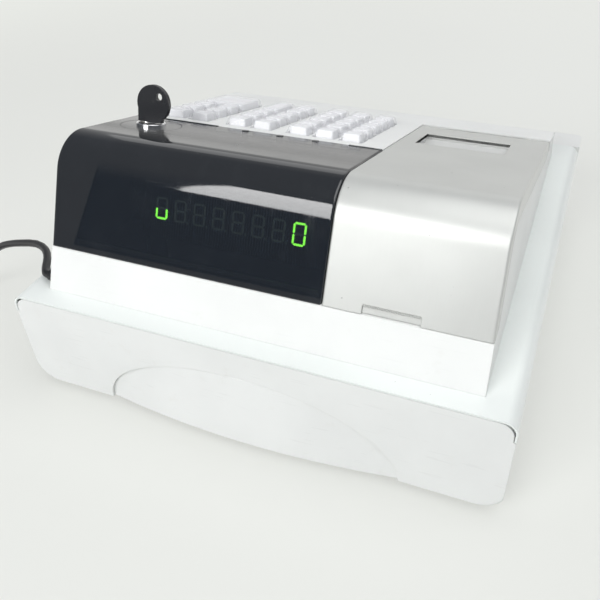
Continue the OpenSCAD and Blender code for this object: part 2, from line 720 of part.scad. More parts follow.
// The strip of deck that fills the notch in the hood's far edge
module notch_strip() on_deck(hood_far_y) difference() {
    box([hood_notch_x - hood_notch_w / 2 + fit_gap, -1, -wall],
        [hood_notch_x + hood_notch_w / 2 - fit_gap, hood_notch_d - fit_gap, 0]);
    for (i = [-1:1]) translate([hood_notch_x + i * hood_tab_pitch, hood_notch_d, 0])
        box([-hood_tab_w / 2 - fit_gap, -3 - fit_gap, -hood_t - 1], [hood_tab_w / 2 + fit_gap, 3, 1]);
}

// The wall between the printer's bay and the rest of the case
module partition() {
    intersection() {
        prism_x(seam_x - 1, seam_x + 1) polygon(case_outline(seat, cabinet_top, seat));
        box([-half_w, cover_far_y - 3, cabinet_top], [half_w, far, far]);
    }
    intersection() {
        prism_x(seam_x + fit_gap / 2, seam_x + 2) polygon(case_outline(1, cabinet_top, 1));
        box([-half_w, cover_far_y - 3, cabinet_top], [half_w, hood_far_y - eps, far]);
    }
}

// The printer's bay: its floor, its front wall, the roll's trough and the hinge posts
module printer_bay() {
    x0 = -half_w_at(bay_z, 1);
    box([x0, cover_far_y - fit_gap - wall, cabinet_top], [seam_x, rear_face_y(bay_z, 1), bay_z]);
    between_sides(1) prism_x(-half_w, seam_x + 1) polygon([
        [cover_far_y - fit_gap - wall, cabinet_top], [cover_far_y - fit_gap, cabinet_top],
        [cover_far_y - fit_gap, deck_z(cover_far_y - fit_gap, 1)],
        [cover_far_y - fit_gap - wall, deck_z(cover_far_y - fit_gap - wall, 1)]]);
    for (x = [-3, -1, 1, 3]) translate([paper_x + x * paper_w / 8, 0, 0]) prism_x(-1, 1) polygon(concat(
        [[roll_c[0] - 24, bay_z - 1]],
        arc_pts(roll_c, roll_r + slide_gap, 215, 325, 12),
        [[roll_c[0] + 24, bay_z - 1]]));
    for (s = [-1, 1]) translate([cover_mid_x + s * post_x, 0, 0]) difference() {
        prism_x(-post_t / 2, post_t / 2) polygon(concat(
            [[hinge_c[0] + 4, bay_z - 1]],
            arc_pts(hinge_c, hinge_r + hinge_wall, -38, 218, 14),
            [[hinge_c[0] - 4, bay_z - 1]]));
        rod_x(hinge_c, hinge_r + shaft_clear, -post_t, post_t);
    }
}

// The lip inside the band that the hood and the cover close over
module inner_lip() between_sides(wall + 0.5) prism_x(-half_w, half_w) difference() {
    union() {
        lip_layer(wall - 0.2, band_z - 8, band_z - 0.2);
        lip_layer(wall + fit_gap, band_z - 8, band_z + 5);
    }
    polygon(case_outline(wall + 1.6, cabinet_top - 2, 20));
}

module lip_layer(d, z0, z1) intersection() {
    polygon(case_outline(d, cabinet_top - 1, 20));
    translate([hood_far_y + 60, z0]) square([far, z1 - z0]);
}

module upper_case() color([0.96, 0.96, 0.94]) difference() {
    union() {
        difference() {
            case_block(0, cabinet_top);
            case_block(wall, cabinet_top - 1);
            prism_x(seam_x, half_w) skin_layer(-5, seat, hood_far_y, band_z);
            prism_x(-half_w, seam_x + fit_gap / 2) skin_layer(-5, seat, cover_far_y - fit_gap, band_z);
        }
        difference() {
            inner_lip();
            prism_x(seam_x - 4, seam_x + 4) translate([0, cabinet_top]) square(far);
        }
        partition();
        printer_bay();
        notch_strip();
        on_deck(hood_far_y) for (b = bosses)
            translate([b[0], b[1], -board_depth]) cylinder(r = boss_r, h = board_depth - 1, $fn = 32);
    }
    key_openings();
    on_deck(hood_far_y) for (b = bosses)
        translate([b[0], b[1], -board_depth - 1]) cylinder(r = boss_r / 2, h = 8, $fn = 32);
    rod_x(outlet_c, sleeve_r + shaft_clear, half_w_at(outlet_c[1]) - 8, half_w_at(outlet_c[1]) + 8);
}

// A skin with an end skirt on both sides, between x0 and x1 and behind y_far
module roof_shell(x0, x1, t, y_far) {
    difference() {
        between_sides(0) prism_x(x0, x1) skin_layer(0, skirt, y_far, band_z + fit_gap);
        between_sides(t) prism_x(x0 + (x0 > -100 ? t : -30), x1 - (x1 < 100 ? t : -30))
            skin_layer(t, skirt + 1, y_far - 1, band_z - 1);
    }
}

module display_hood() color([0.07, 0.07, 0.08]) {
    x0 = seam_x + fit_gap / 2;
    difference() {
        roof_shell(x0, half_w, hood_t, hood_far_y + fit_gap);
        on_deck(hood_far_y)
            box([hood_notch_x - hood_notch_w / 2, -5, -hood_t - 8], [hood_notch_x + hood_notch_w / 2, hood_notch_d, 5]);
        on_deck(lock_y) translate([lock_x, 0, 0]) {
            translate([0, 0, -10]) cylinder(r = barrel_r + 0.3, h = 20, $fn = 64);
            translate([0, 0, -escutcheon_t]) cylinder(r = escutcheon_r + 0.2, h = 10, $fn = 96);
        }
    }
    on_deck(hood_far_y) {
        for (i = [-1:1]) box([hood_notch_x + i * hood_tab_pitch - hood_tab_w / 2, hood_notch_d - 3, -hood_t],
            [hood_notch_x + i * hood_tab_pitch + hood_tab_w / 2, hood_notch_d + 1, 0]);
        box([hood_notch_x + hood_notch_w / 2, fit_gap + 0.1, -1],
            [half_w_at(deck_z(hood_far_y, 0)) - 1, fit_gap + 2.5, hood_rim_h]);
        box([x0 + 0.1, fit_gap + 0.1, -1], [hood_notch_x - hood_notch_w / 2, fit_gap + 2.5, hood_rim_h]);
    }
}

module customer_display() {
    leg_x = board_w / 2 - leg_t / 2 - 1;
    back = tube_inset + tube_t + board_t;
    up = [-sin(rear_tilt), cos(rear_tilt)];
    middle = [rear_face_y(tube_z, 0), tube_z] - (back - board_t / 2) * rear_n;
    top = middle + (board_h / 2 - 2) * up;
    foot = middle - (board_h / 2 - 2) * up;
    color([0.1, 0.16, 0.14]) on_rear(tube_z) translate([-display_x, 0, 0]) {
        box([-tube_w / 2, -tube_h / 2, -tube_inset - tube_t - eps], [tube_w / 2, tube_h / 2, -tube_inset]);
        box([-board_w / 2, -board_h / 2, -back], [board_w / 2, board_h / 2, -back + board_t]);
    }
    color([0.2, 0.2, 0.21]) for (s = [-1, 1])
        translate([display_x + s * leg_x, 0, 0]) prism_x(-leg_t / 2, leg_t / 2)
            polygon([foot, [foot[0] + 6, cabinet_top], [foot[0] - 14, cabinet_top], top - [4, 0], top]);
}

module operator_display() color([0.1, 0.16, 0.14]) on_deck(rear_y - op_reach) translate([display_x, 0, 0]) {
    z0 = -hood_t - 6 - board_t;
    box([-op_tube_w / 2, -op_tube_d / 2, z0 + board_t], [op_tube_w / 2, op_tube_d / 2, -hood_t - slide_gap]);
    box([-op_tube_w / 2 - 9, -op_tube_d / 2 - 3, z0], [op_tube_w / 2 + 9, op_tube_d / 2 + 3, z0 + board_t]);
    for (x = [-1, 1], y = [-1, 1]) translate([x * (op_tube_w / 2 + 5), y * op_tube_d / 2, z0])
        cylinder(r = boss_r, h = 6 + board_t, $fn = 32);
}

// A key's body: k holds its name, its place along X, its row, and its width and length in pitches
module keycap(k) color([0.86, 0.87, 0.89]) on_deck(hood_far_y)
    translate([k[1], -key_first_row - k[2] * key_pitch, 0]) {
        w = (k[3] - 1) * key_pitch;
        l = (k[4] - 1) * key_pitch;
        guide = -wall - slide_gap;
        corner_w = (w + l) / 2 * cos(45) - key_corner;
        intersection() {
            tapered((l + key_base) / 2, (l + key_top) / 2, guide);
            rotate([0, 0, 90]) tapered((w + key_base) / 2, (w + key_top) / 2, guide);
            rotate([0, 0, 45]) tapered(corner_w + key_base * cos(45), corner_w + key_top * cos(45), guide);
            rotate([0, 0, -45]) tapered(corner_w + key_base * cos(45), corner_w + key_top * cos(45), guide);
        }
        translate([-(w + key_hole + 0.9) / 2, -(l + key_hole + 0.9) / 2, guide - 1.4])
            cube([w + key_hole + 0.9, l + key_hole + 0.9, 1.4]);
        for (x = k[3] > 1 ? [-0.5, 0.5] : [0], y = k[4] > 1 ? [-0.5, 0.5] : [0])
            translate([x * key_pitch, y * key_pitch, -stem_foot])
                cylinder(r = stem_r, h = stem_foot + guide - 1, $fn = 32);
    }

// A bar along X from z0 up, whose flanks lean in from foot_w to top_w off its middle
module tapered(foot_w, top_w, z0) prism_x(-40, 40) polygon([
    [-foot_w, z0], [foot_w, z0], [foot_w, 0.3], [top_w, key_rise], [-top_w, key_rise], [-foot_w, 0.3]]);

module main_board() {
    on_deck(hood_far_y) difference() {
        union() {
            color([0.1, 0.35, 0.2])
                box([seam_x + 4, -124, -board_depth - board_t], [outer_x + 28, -4, -board_depth]);
            color([0.3, 0.3, 0.32]) for (k = KEYS)
                for (x = k[3] > 1 ? [-0.5, 0.5] : [0], y = k[4] > 1 ? [-0.5, 0.5] : [0])
                    translate([k[1] + x * key_pitch, -key_first_row - (k[2] - y) * key_pitch, -board_depth])
                        cylinder(r = collar_r, h = collar_h, $fn = 32);
            color([0.1, 0.1, 0.1]) for (c = [[-10, -90], [45, -60], [90, -80]])
                translate([c[0], c[1], -board_depth - board_t - 3]) box([-18, -7, 0], [18, 7, 3.2]);
        }
        for (k = KEYS)
            for (x = k[3] > 1 ? [-0.5, 0.5] : [0], y = k[4] > 1 ? [-0.5, 0.5] : [0])
                translate([k[1] + x * key_pitch, -key_first_row - (k[2] - y) * key_pitch, -board_depth])
                    cylinder(r = stem_r + 0.5, h = 8, $fn = 32);
        for (b = bosses) translate([b[0], b[1], -board_depth - 3]) cylinder(r = boss_r / 2, h = 6, $fn = 32);
    }
}

module mode_lock() on_deck(lock_y) translate([lock_x, 0, 0]) difference() {
    union() {
        color([0.05, 0.05, 0.06]) translate([0, 0, -escutcheon_t]) cylinder(r = escutcheon_r, h = escutcheon_t, $fn = 96);
        color([0.8, 0.81, 0.83]) translate([0, 0, -barrel_depth])
            cylinder(r = barrel_r, h = barrel_depth + barrel_rise, $fn = 64);
    }
    translate([0, 0, -barrel_depth + 2]) cylinder(r = rotor_r + rotor_clear, h = 60, $fn = 64);
}

module mode_rotor() color([0.6, 0.6, 0.62]) on_deck(lock_y) translate([lock_x, 0, 0]) difference() {
    translate([0, 0, -barrel_depth + 2 + slide_gap])
        cylinder(r = rotor_r, h = barrel_depth - 2 - slide_gap + barrel_rise - 0.2, $fn = 64);
    box([-blade_w / 2 - 0.2, -blade_t / 2 - 0.2, -barrel_depth], [blade_w / 2 + 0.2, blade_t / 2 + 0.2, 20]);
}

module mode_key() on_deck(lock_y) translate([lock_x, 0, 0]) {
    foot = barrel_rise + slide_gap;
    color([0.75, 0.76, 0.78])
        box([-blade_w / 2, -blade_t / 2, foot - blade_l], [blade_w / 2, blade_t / 2, foot + 1]);
    color([0.05, 0.05, 0.06]) difference() {
        union() {
            box([-shoulder_w / 2, -bow_t / 2, foot], [shoulder_w / 2, bow_t / 2, foot + shoulder_h]);
            translate([-bow_shift, bow_t / 2, foot + bow_up]) rotate([90, 0, 0]) cylinder(r = bow_r, h = bow_t, $fn = 96);
        }
        translate([-bow_shift - 4.8, 5, foot + bow_up + 4.8]) rotate([90, 0, 0]) cylinder(r = bow_hole_r, h = 10, $fn = 48);
    }
}

module power_transformer() {
    x = xformer_x;
    y = rear_y - xformer_reach;
    color([0.35, 0.35, 0.37]) {
        box([x - xformer_w / 2, y - xformer_d / 2 + 9, cabinet_top + sheet_t],
            [x + xformer_w / 2, y + xformer_d / 2 - 9, cabinet_top + xformer_h]);
        difference() {
            box([x - xformer_w / 2 - 9, y - xformer_d / 2 + 9, cabinet_top],
                [x + xformer_w / 2 + 9, y + xformer_d / 2 - 9, cabinet_top + sheet_t + eps]);
            for (s = [-1, 1]) translate([x + s * (xformer_w / 2 + 5), y, cabinet_top - 1])
                cylinder(r = 1.8, h = 4, $fn = 32);
        }
    }
    color([0.75, 0.6, 0.2]) box([x - xformer_w / 2 + 9, y - xformer_d / 2, cabinet_top + 8],
        [x + xformer_w / 2 - 9, y + xformer_d / 2, cabinet_top + xformer_h - 8]);
}

module printer_frame() color([0.3, 0.31, 0.33]) {
    z1 = platen_c[1] + 8;
    half = paper_w / 2 + 1;
    difference() {
        union() {
            for (s = [-1, 1]) translate([paper_x + s * (half + side_t / 2), 0, 0])
                prism_x(-side_t / 2, side_t / 2) polygon(concat(
                    [[platen_c[0] - 34, bay_z], [platen_c[0] + 22, bay_z]],
                    arc_pts(platen_c, 8, -10, 190, 12),
                    [[platen_c[0] - 34, bay_z + 12]]));
            box([paper_x - half, platen_c[0] - 34, bay_z], [paper_x + half, platen_c[0] - 10, bay_z + 2]);
            box([paper_x - half, platen_c[0] - 14, bay_z], [paper_x + half, platen_c[0] - 10, bay_z + 18]);
            box([paper_x - half, platen_c[0] + 8, bay_z], [paper_x + half, platen_c[0] + 14, bay_z + 14]);
            box([paper_x - half + 2, platen_c[0] - platen_r - 3.2, bay_z + 16],
                [paper_x + half - 2, platen_c[0] - platen_r - slide_gap, platen_c[1] + 4]);
            box([paper_x - half - eps, platen_c[0] - platen_r - 4.2, bay_z + 14],
                [paper_x + half + eps, platen_c[0] - platen_r - 2.2, bay_z + 20]);
        }
        rod_x(platen_c, platen_shaft_r + shaft_clear, paper_x - 50, paper_x + 50);
    }
}

module platen_roller() {
    half = paper_w / 2;
    color([0.1, 0.1, 0.1]) rod_x(platen_c, platen_r, paper_x - half, paper_x + half);
    color([0.7, 0.7, 0.72]) rod_x(platen_c, platen_shaft_r, paper_x - half - side_t - 8, paper_x + half + side_t + 3);
    color([0.9, 0.9, 0.85]) {
        x1 = paper_x - half - 1 - side_t - 0.5;
        root = gear_r - 1.8;
        prism_x(x1 - 5, x1) polygon([for (i = [0:gear_teeth * 4 - 1])
            let (a = 360 * i / (gear_teeth * 4), r = (i % 4 < 2) ? root : gear_r)
            platen_c + r * [cos(a), sin(a)]]);
    }
}

module paper_roll() color([0.97, 0.97, 0.95]) difference() {
    rod_x(roll_c, roll_r, paper_x - paper_w / 2, paper_x + paper_w / 2);
    rod_x(roll_c, core_r, paper_x - paper_w, paper_x + paper_w);
}

// The rounded far edge of the cover, down to the angle a1
module nose(a1) polygon(concat(arc_pts(hinge_c, nose_r, 90 + deck_slope, a1, 8),
    arc_pts(hinge_c, nose_r - cover_t, a1, 90 + deck_slope, 8)));

module printer_cover() color([0.75, 0.75, 0.73]) {
    x1 = seam_x - fit_gap / 2;
    x0 = -half_w_at(hinge_c[1]) + 0.3;
    slot_x0 = paper_x - slot_w / 2;
    slot_x1 = paper_x + slot_w / 2;
    post_l = post_t / 2 + slide_gap;
    under = slot_depth * tan(deck_slope);
    below = slot_depth + cover_t;
    difference() {
        union() {
            roof_shell(-half_w, x1, cover_t, hinge_c[0] - eps);
            prism_x(x0, x1) nose(124);
            prism_x(x0 + wall + 0.6, x1) nose(150);
            prism_x(cover_mid_x - post_x + post_l, cover_mid_x + post_x - post_l) nose(190);
            for (s = [-1, 1], e = [-1, 1]) translate([cover_mid_x + s * post_x + e * (post_l + 1.5), 0, 0])
                prism_x(-1.5, 1.5) polygon(arc_pts(hinge_c, nose_r - 1, 0, 337.5, 15));
            on_deck(slot_y) prism_x(slot_x0 - 2, slot_x1 + 2) polygon([
                [-slot_l - 6, -0.5], [-slit_w - under - 2, -below], [cover_t - under, -below], [cover_t, -0.5]]);
        }
        on_deck(slot_y) prism_x(slot_x0, slot_x1) polygon([
            [-slot_l, 2], [-slot_l, 0], [-slit_w - under, -slot_depth], [-slit_w - under - 1.2, -slot_depth - 4],
            [-under - 1.2, -slot_depth - 4], [0, 0], [0, 2]]);
        on_rear(band_z) box([-grip_x - grip_w / 2, -2, -1.2], [-grip_x + grip_w / 2, fit_gap + grip_h, 2]);
    }
    for (s = [-1, 1]) translate([cover_mid_x + s * post_x, 0, 0]) rod_x(hinge_c, hinge_r, -post_l - 1, post_l + 1);
    on_deck(slot_y) translate([0, 0, -1.2]) linear_extrude(1.2) polygon(concat(
        [[slot_x0, 0.5]],
        [for (i = [0:floor(slot_w / tooth_pitch) * 2])
            [slot_x0 + i * tooth_pitch / 2, (i % 2 == 0) ? 0 : -tooth_d]],
        [[slot_x1, 0], [slot_x1, 0.5]]));
}

module strain_relief() color([0.06, 0.06, 0.07]) {
    wall_x = half_w_at(outlet_c[1]);
    rod_x(outlet_c, sleeve_r, wall_x - wall - 3, outlet_x);
    rod_x(outlet_c, sleeve_r + 0.8, wall_x + 0.2, wall_x + 1.6);
    rod_x(outlet_c, sleeve_r + 0.8, wall_x - wall - 2.6, wall_x - wall - 0.4);
}

// A point between p1 and p2 on the smooth curve through four points
function spline(p0, p1, p2, p3, t) = 0.5 * (2 * p1 + (p2 - p0) * t + (2 * p0 - 5 * p1 + 4 * p2 - p3) * t * t
    + (3 * p1 - p0 - 3 * p2 + p3) * t * t * t);

// The smooth curve through the points p, with n steps between two of them
function smooth(p, n) = concat(
    [for (i = [0:len(p) - 2], j = [0:n - 1])
        spline(p[max(i - 1, 0)], p[i], p[i + 1], p[min(i + 2, len(p) - 1)], j / n)],
    [p[len(p) - 1]]);

function unit(v) = v / norm(v);

// Direction of the path p at its point i
function heading(p, i) = unit(p[min(i + 1, len(p) - 1)] - p[max(i - 1, 0)]);

// Rings of n points round the path p
function rings(p, r, n) = [for (i = [0:len(p) - 1])
    let (t = heading(p, i), side = unit(cross(t, [0, 0, 1])), up = cross(side, t))
    for (j = [0:n - 1]) p[i] + r * (cos(360 * j / n) * side + sin(360 * j / n) * up)];

// A round tube along the path p
module tube(p, r, n) {
    m = len(p);
    polyhedron(rings(p, r, n), concat(
        [[for (j = [0:n - 1]) j]],
        [for (i = [0:m - 2], j = [0:n - 1]) [i * n + j, i * n + n + j, i * n + (j + 1) % n]],
        [for (i = [0:m - 2], j = [0:n - 1]) [i * n + (j + 1) % n, i * n + n + j, i * n + n + (j + 1) % n]],
        [[for (j = [0:n - 1]) (m - 1) * n + n - 1 - j]]), convexity = 10);
}

module power_cord() color([0.05, 0.05, 0.05]) tube(smooth(CORD_ROUTE, 2), cord_r, 8);

module cord_coil() color([0.06, 0.06, 0.06]) tube(COIL_ROUTE, cord_r, 6);

module power_plug() translate(COIL_ROUTE[len(COIL_ROUTE) - 1]) rotate([0, -90, 0]) {
    half_h = cord_low + coil_pitch - 0.1;
    grip_l = plug_l * 0.4;
    color([0.05, 0.05, 0.05]) {
        cylinder(r1 = cord_r + 1, r2 = half_h - 2, h = grip_l + eps, $fn = 48);
        translate([0, 0, grip_l]) linear_extrude(plug_l - grip_l) polygon([
            [-half_h + 3, -plug_w / 2], [half_h - 3, -plug_w / 2], [half_h, -plug_w / 2 + 3],
            [half_h, plug_w / 2 - 3], [half_h - 3, plug_w / 2], [-half_h + 3, plug_w / 2],
            [-half_h, plug_w / 2 - 3], [-half_h, -plug_w / 2 + 3]]);
    }
    color([0.8, 0.8, 0.8]) for (s = [-1, 1]) translate([0, s * pin_pitch / 2, plug_l - 1])
        cylinder(r = pin_d / 2, h = pin_l + 1, $fn = 32);
}

cabinet_shell();
rear_panel();
base_plate();
rubber_feet();
drawer_tray();
drawer_front();
coin_tray();
bill_clip(1);  // bill_clip_1
bill_clip(2);  // bill_clip_2
bill_clip(3);  // bill_clip_3
drawer_latch();
latch_solenoid();
upper_case();
display_hood();
customer_display();
operator_display();
mode_lock();
mode_rotor();
mode_key();
main_board();
power_transformer();
printer_frame();
platen_roller();
paper_roll();
printer_cover();
strain_relief();
power_cord();
cord_coil();
power_plug();
for (k = KEYS) keycap(k);
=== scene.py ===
"""Electronic cash register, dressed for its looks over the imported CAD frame.

Each sub-assembly is a class that holds its own sizes in millimetres and builds and dresses its own
pieces, and each finish is a small frozen dataclass. Everything is modelled in millimetres at its
place in the machine and scaled to metres when a piece is finished.
"""

from __future__ import annotations

import json
import logging
import math
from dataclasses import dataclass, field
from enum import Enum
from typing import Any, Callable, Iterable, Sequence

import bmesh
import bpy
from mathutils import Matrix, Vector

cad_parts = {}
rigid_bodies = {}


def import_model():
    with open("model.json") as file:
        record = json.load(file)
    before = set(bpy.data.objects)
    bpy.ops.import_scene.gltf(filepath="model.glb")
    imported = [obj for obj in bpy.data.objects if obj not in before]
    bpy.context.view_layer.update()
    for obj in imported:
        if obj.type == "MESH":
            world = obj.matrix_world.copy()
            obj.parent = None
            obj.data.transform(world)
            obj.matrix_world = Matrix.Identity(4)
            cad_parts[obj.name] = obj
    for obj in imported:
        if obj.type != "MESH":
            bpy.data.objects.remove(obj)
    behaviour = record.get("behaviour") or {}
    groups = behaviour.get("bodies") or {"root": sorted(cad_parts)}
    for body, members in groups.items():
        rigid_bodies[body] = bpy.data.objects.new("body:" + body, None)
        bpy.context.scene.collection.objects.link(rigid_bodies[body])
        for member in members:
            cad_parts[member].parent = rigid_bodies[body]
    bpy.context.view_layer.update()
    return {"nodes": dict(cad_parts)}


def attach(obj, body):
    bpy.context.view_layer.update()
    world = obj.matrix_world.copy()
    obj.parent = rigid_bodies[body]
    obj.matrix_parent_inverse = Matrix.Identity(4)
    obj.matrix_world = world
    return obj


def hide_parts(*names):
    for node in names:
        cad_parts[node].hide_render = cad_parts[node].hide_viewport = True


LOG = logging.getLogger("cash_register")
MM = 0.001
PARALLEL = 0.9  # cosine from which a direction counts as lying along an axis
NEAR = 0.1  # how far a place or a cosine may be off and still count
Material = bpy.types.Material
Point = Sequence[float]
Pair = tuple[float, float]
Triple = tuple[float, float, float]
Rule = Callable[[Vector, Vector], bool]
Inputs = dict[int | str, Any] | None
EVEN: Triple = (1.0, 1.0, 1.0)
ORIGIN: Triple = (0.0, 0.0, 0.0)


# ---- shader maths


def _math(operation: str, swapped: bool = False) -> Callable[[Value, Any], Value]:
    """Make an operator that adds one Math node.

    Args:
        operation: The node's operation.
        swapped: Whether the other operand comes first.

    Returns:
        The method, which takes the other operand.
    """

    def method(self: Value, other: Any) -> Value:
        """Return the value of the new node."""
        pair = (other, self) if swapped else (self, other)
        return self.graph.node("Math", {"operation": operation}, dict(enumerate(pair)))

    return method


class Value:
    """A shader socket that takes part in Python expressions; either gives the greater of two."""

    def __init__(self, graph: Graph, socket: bpy.types.NodeSocket) -> None:
        """Wrap one output socket of a graph."""
        self.graph, self.socket = graph, socket

    __add__ = __radd__ = _math("ADD")
    __sub__ = _math("SUBTRACT")
    __rsub__ = _math("SUBTRACT", swapped=True)
    __mul__ = _math("MULTIPLY")
    __pow__ = _math("POWER")
    either = _math("MAXIMUM")

    def ramp(self, low: float, high: float) -> Value:
        """Rise smoothly from 0 at a low level to 1 at a high one."""
        levels = {"Value": self, "From Min": low, "From Max": high}
        return self.graph.node("MapRange", {"interpolation_type": "SMOOTHSTEP"}, levels)


class Graph:
    """The node tree of a material or of the world."""

    def __init__(self, holder: Material | bpy.types.World) -> None:
        """Empty the holder's node tree."""
        holder.use_nodes = True
        self.tree = holder.node_tree
        self.tree.nodes.clear()

    def feed(self, socket: bpy.types.NodeSocket, value: Any) -> None:
        """Set a socket or link a value to it.

        Args:
            socket: An input socket.
            value: A Value, a number, a vector, or a colour of three numbers.
        """
        if isinstance(value, Value):
            self.tree.links.new(value.socket, socket)
        elif isinstance(value, (tuple, list)) and len(value) == 3 and len(socket.default_value) == 4:
            socket.default_value = (*value, 1.0)
        else:
            socket.default_value = value

    def node(self, kind: str, settings: Inputs = None, inputs: Inputs = None, output: int | str = 0) -> Value:
        """Add any node.

        Args:
            kind: The node's type, without its first words.
            settings: Its own settings, set first; "stops" gives a ramp's stops.
            inputs: Values or links for its sockets, by name or number.
            output: Which output the result stands for.

        Returns:
            The value of that output.
        """
        made = self.tree.nodes.new("ShaderNode" + kind)
        for key, value in (settings or {}).items():
            if key == "stops":
                for stop, (place, colour) in zip(made.color_ramp.elements, value):
                    stop.position, stop.color = place, (*colour, 1.0)
            else:
                setattr(made, key, value)
        for key, value in (inputs or {}).items():
            self.feed(made.inputs[key], value)
        return Value(self, made.outputs[output])

    def ray(self, kind: str) -> Value:
        """Whether the ray that sees this is of a kind, such as Camera."""
        return self.node("LightPath", output=f"Is {kind} Ray")

    def end(self, kind: str, shader: Value) -> None:
        """Add the output node and lead a shader to it."""
        self.feed(self.tree.nodes.new("ShaderNode" + kind).inputs[0], shader)


class Paint(Graph):
    """One material: a Principled surface and the nodes behind it."""

    def __init__(self, name: str) -> None:
        """Start a material by its finish's name."""
        self.material = bpy.data.materials.new(name)
        super().__init__(self.material)
        self.principled = self.tree.nodes.new("ShaderNodeBsdfPrincipled")

    def place(self, stretch: Point = EVEN, shift: Point = ORIGIN) -> Value:
        """Object coordinates, in metres, stretched and moved along each axis."""
        where = self.node("TexCoord", output="Object")
        return self.node("Mapping", None, {"Vector": where, "Scale": stretch, "Location": shift})

    def axis(self, name: str) -> Value:
        """One object coordinate, X, Y or Z, in metres."""
        return self.node("SeparateXYZ", None, {0: self.node("TexCoord", output="Object")}, name)

    def noise(
        self, size: float, detail: float, stretch: Point = EVEN, rough: float = 0.5, shift: Point = ORIGIN
    ) -> Value:
        """Noise whose features are about a size in millimetres.

        Args:
            size: Feature size in millimetres.
            detail: Octaves.
            stretch: Frequency along each axis.
            rough: Strength of the finer octaves.
            shift: Start of the pattern.

        Returns:
            A factor round 0.5.
        """
        inputs = {"Vector": self.place(stretch, shift), "Scale": 1000.0 / size}
        return self.node("TexNoise", None, {**inputs, "Detail": detail, "Roughness": rough})

    def cells(self, scale: float, disorder: float = 1.0) -> Value:
        """Distance to the nearest of many points, so many to a metre."""
        inputs = {"Vector": self.place(), "Scale": scale, "Randomness": disorder}
        return self.node("TexVoronoi", None, inputs, "Distance")

    def bands(self, direction: str, scale: float, **inputs: float) -> Value:
        """Waves that follow each other along an axis."""
        settings = {"wave_type": "BANDS", "bands_direction": direction}
        return self.node("TexWave", settings, {"Vector": self.place(), "Scale": scale, **inputs})

    def blend(self, factor: Any, one: Any, two: Any) -> Value:
        """Mix two colours: factor 0 gives the first, 1 the second."""
        return self.node("Mix", {"data_type": "RGBA"}, {0: factor, 6: one, 7: two}, 2)

    def bump(self, height: Value, strength: float, depth: float, edge: float) -> Value:
        """Turn a height into a normal.

        Args:
            height: The height, 0 to 1.
            strength: How much of it shows.
            depth: What a height of 1 is, in millimetres.
            edge: Radius that rounds the edges under it, in millimetres.

        Returns:
            The bumped normal.
        """
        soft = self.node("Bevel", {"samples": 4}, {"Radius": edge * MM})
        inputs = {"Height": height, "Strength": strength, "Distance": depth * MM, "Normal": soft}
        return self.node("Bump", None, inputs)

    def settle(self, **sockets: Any) -> Value:
        """Feed the surface's sockets, with _ for the spaces in their names.

        Args:
            sockets: What each socket gets.

        Returns:
            The surface's shader.
        """
        for key, value in sockets.items():
            self.feed(self.principled.inputs[key.replace("_", " ")], value)
        return Value(self, self.principled.outputs[0])

    def surface(self, **sockets: Any) -> Material:
        """Settle the surface and end the material with it."""
        self.end("OutputMaterial", self.settle(**sockets))
        return self.material


def tint(colour: Triple, factor: float) -> Triple:
    """A colour made lighter or darker by a factor."""
    return tuple(min(1.0, c * factor) for c in colour)


# ---- finishes


@dataclass(frozen=True)
class MouldedPlastic:
    """Injection-moulded plastic: eroded grain, faint ageing and hairline scuffs."""

    name: str
    tone: Triple
    grain: float = 0.7
    depth: float = 0.03
    rough: float = 0.42
    edge: float = 0.5
    scuffs: float = 0.5
    gloss: float = 0.5
    dirt: Triple = (0.6, 0.57, 0.5)

    def make(self) -> Material:
        """Build the nodes of this finish.

        Returns:
            The material.
        """
        p = Paint(self.name)
        cloudy = p.noise(60, 3)
        aged = p.blend(cloudy.ramp(0.35, 0.75), self.tone, tint(self.tone, 0.955))
        dust = p.noise(9, 4, shift=(3.1, 0.4, 1.7)).ramp(0.62, 0.8) * 0.25
        dusty = p.blend(dust, aged, tuple(0.55 * c + 0.45 * s for c, s in zip(self.tone, self.dirt)))
        scratch = (p.noise(1.6, 2, (0.06, 1.0, 1.0)) - 0.66).ramp(0.0, 0.05) * self.scuffs
        worn = p.blend(scratch * 0.35, dusty, tint(self.tone, 0.8 if self.tone[0] > 0.3 else 1.8))
        grain = p.noise(self.grain, 3, rough=0.6)
        mottle = p.noise(self.grain * 5, 2, shift=(0.2, 0.9, 0.3))
        return p.surface(
            Base_Color=worn,
            Roughness=self.rough + (cloudy - 0.5) * 0.12 + grain * 0.06 + scratch * 0.1,
            Normal=p.bump(grain + mottle * 0.6 - scratch * 0.3, 0.5, self.depth, self.edge),
            IOR=1.5,
            Specular_IOR_Level=self.gloss,
        )


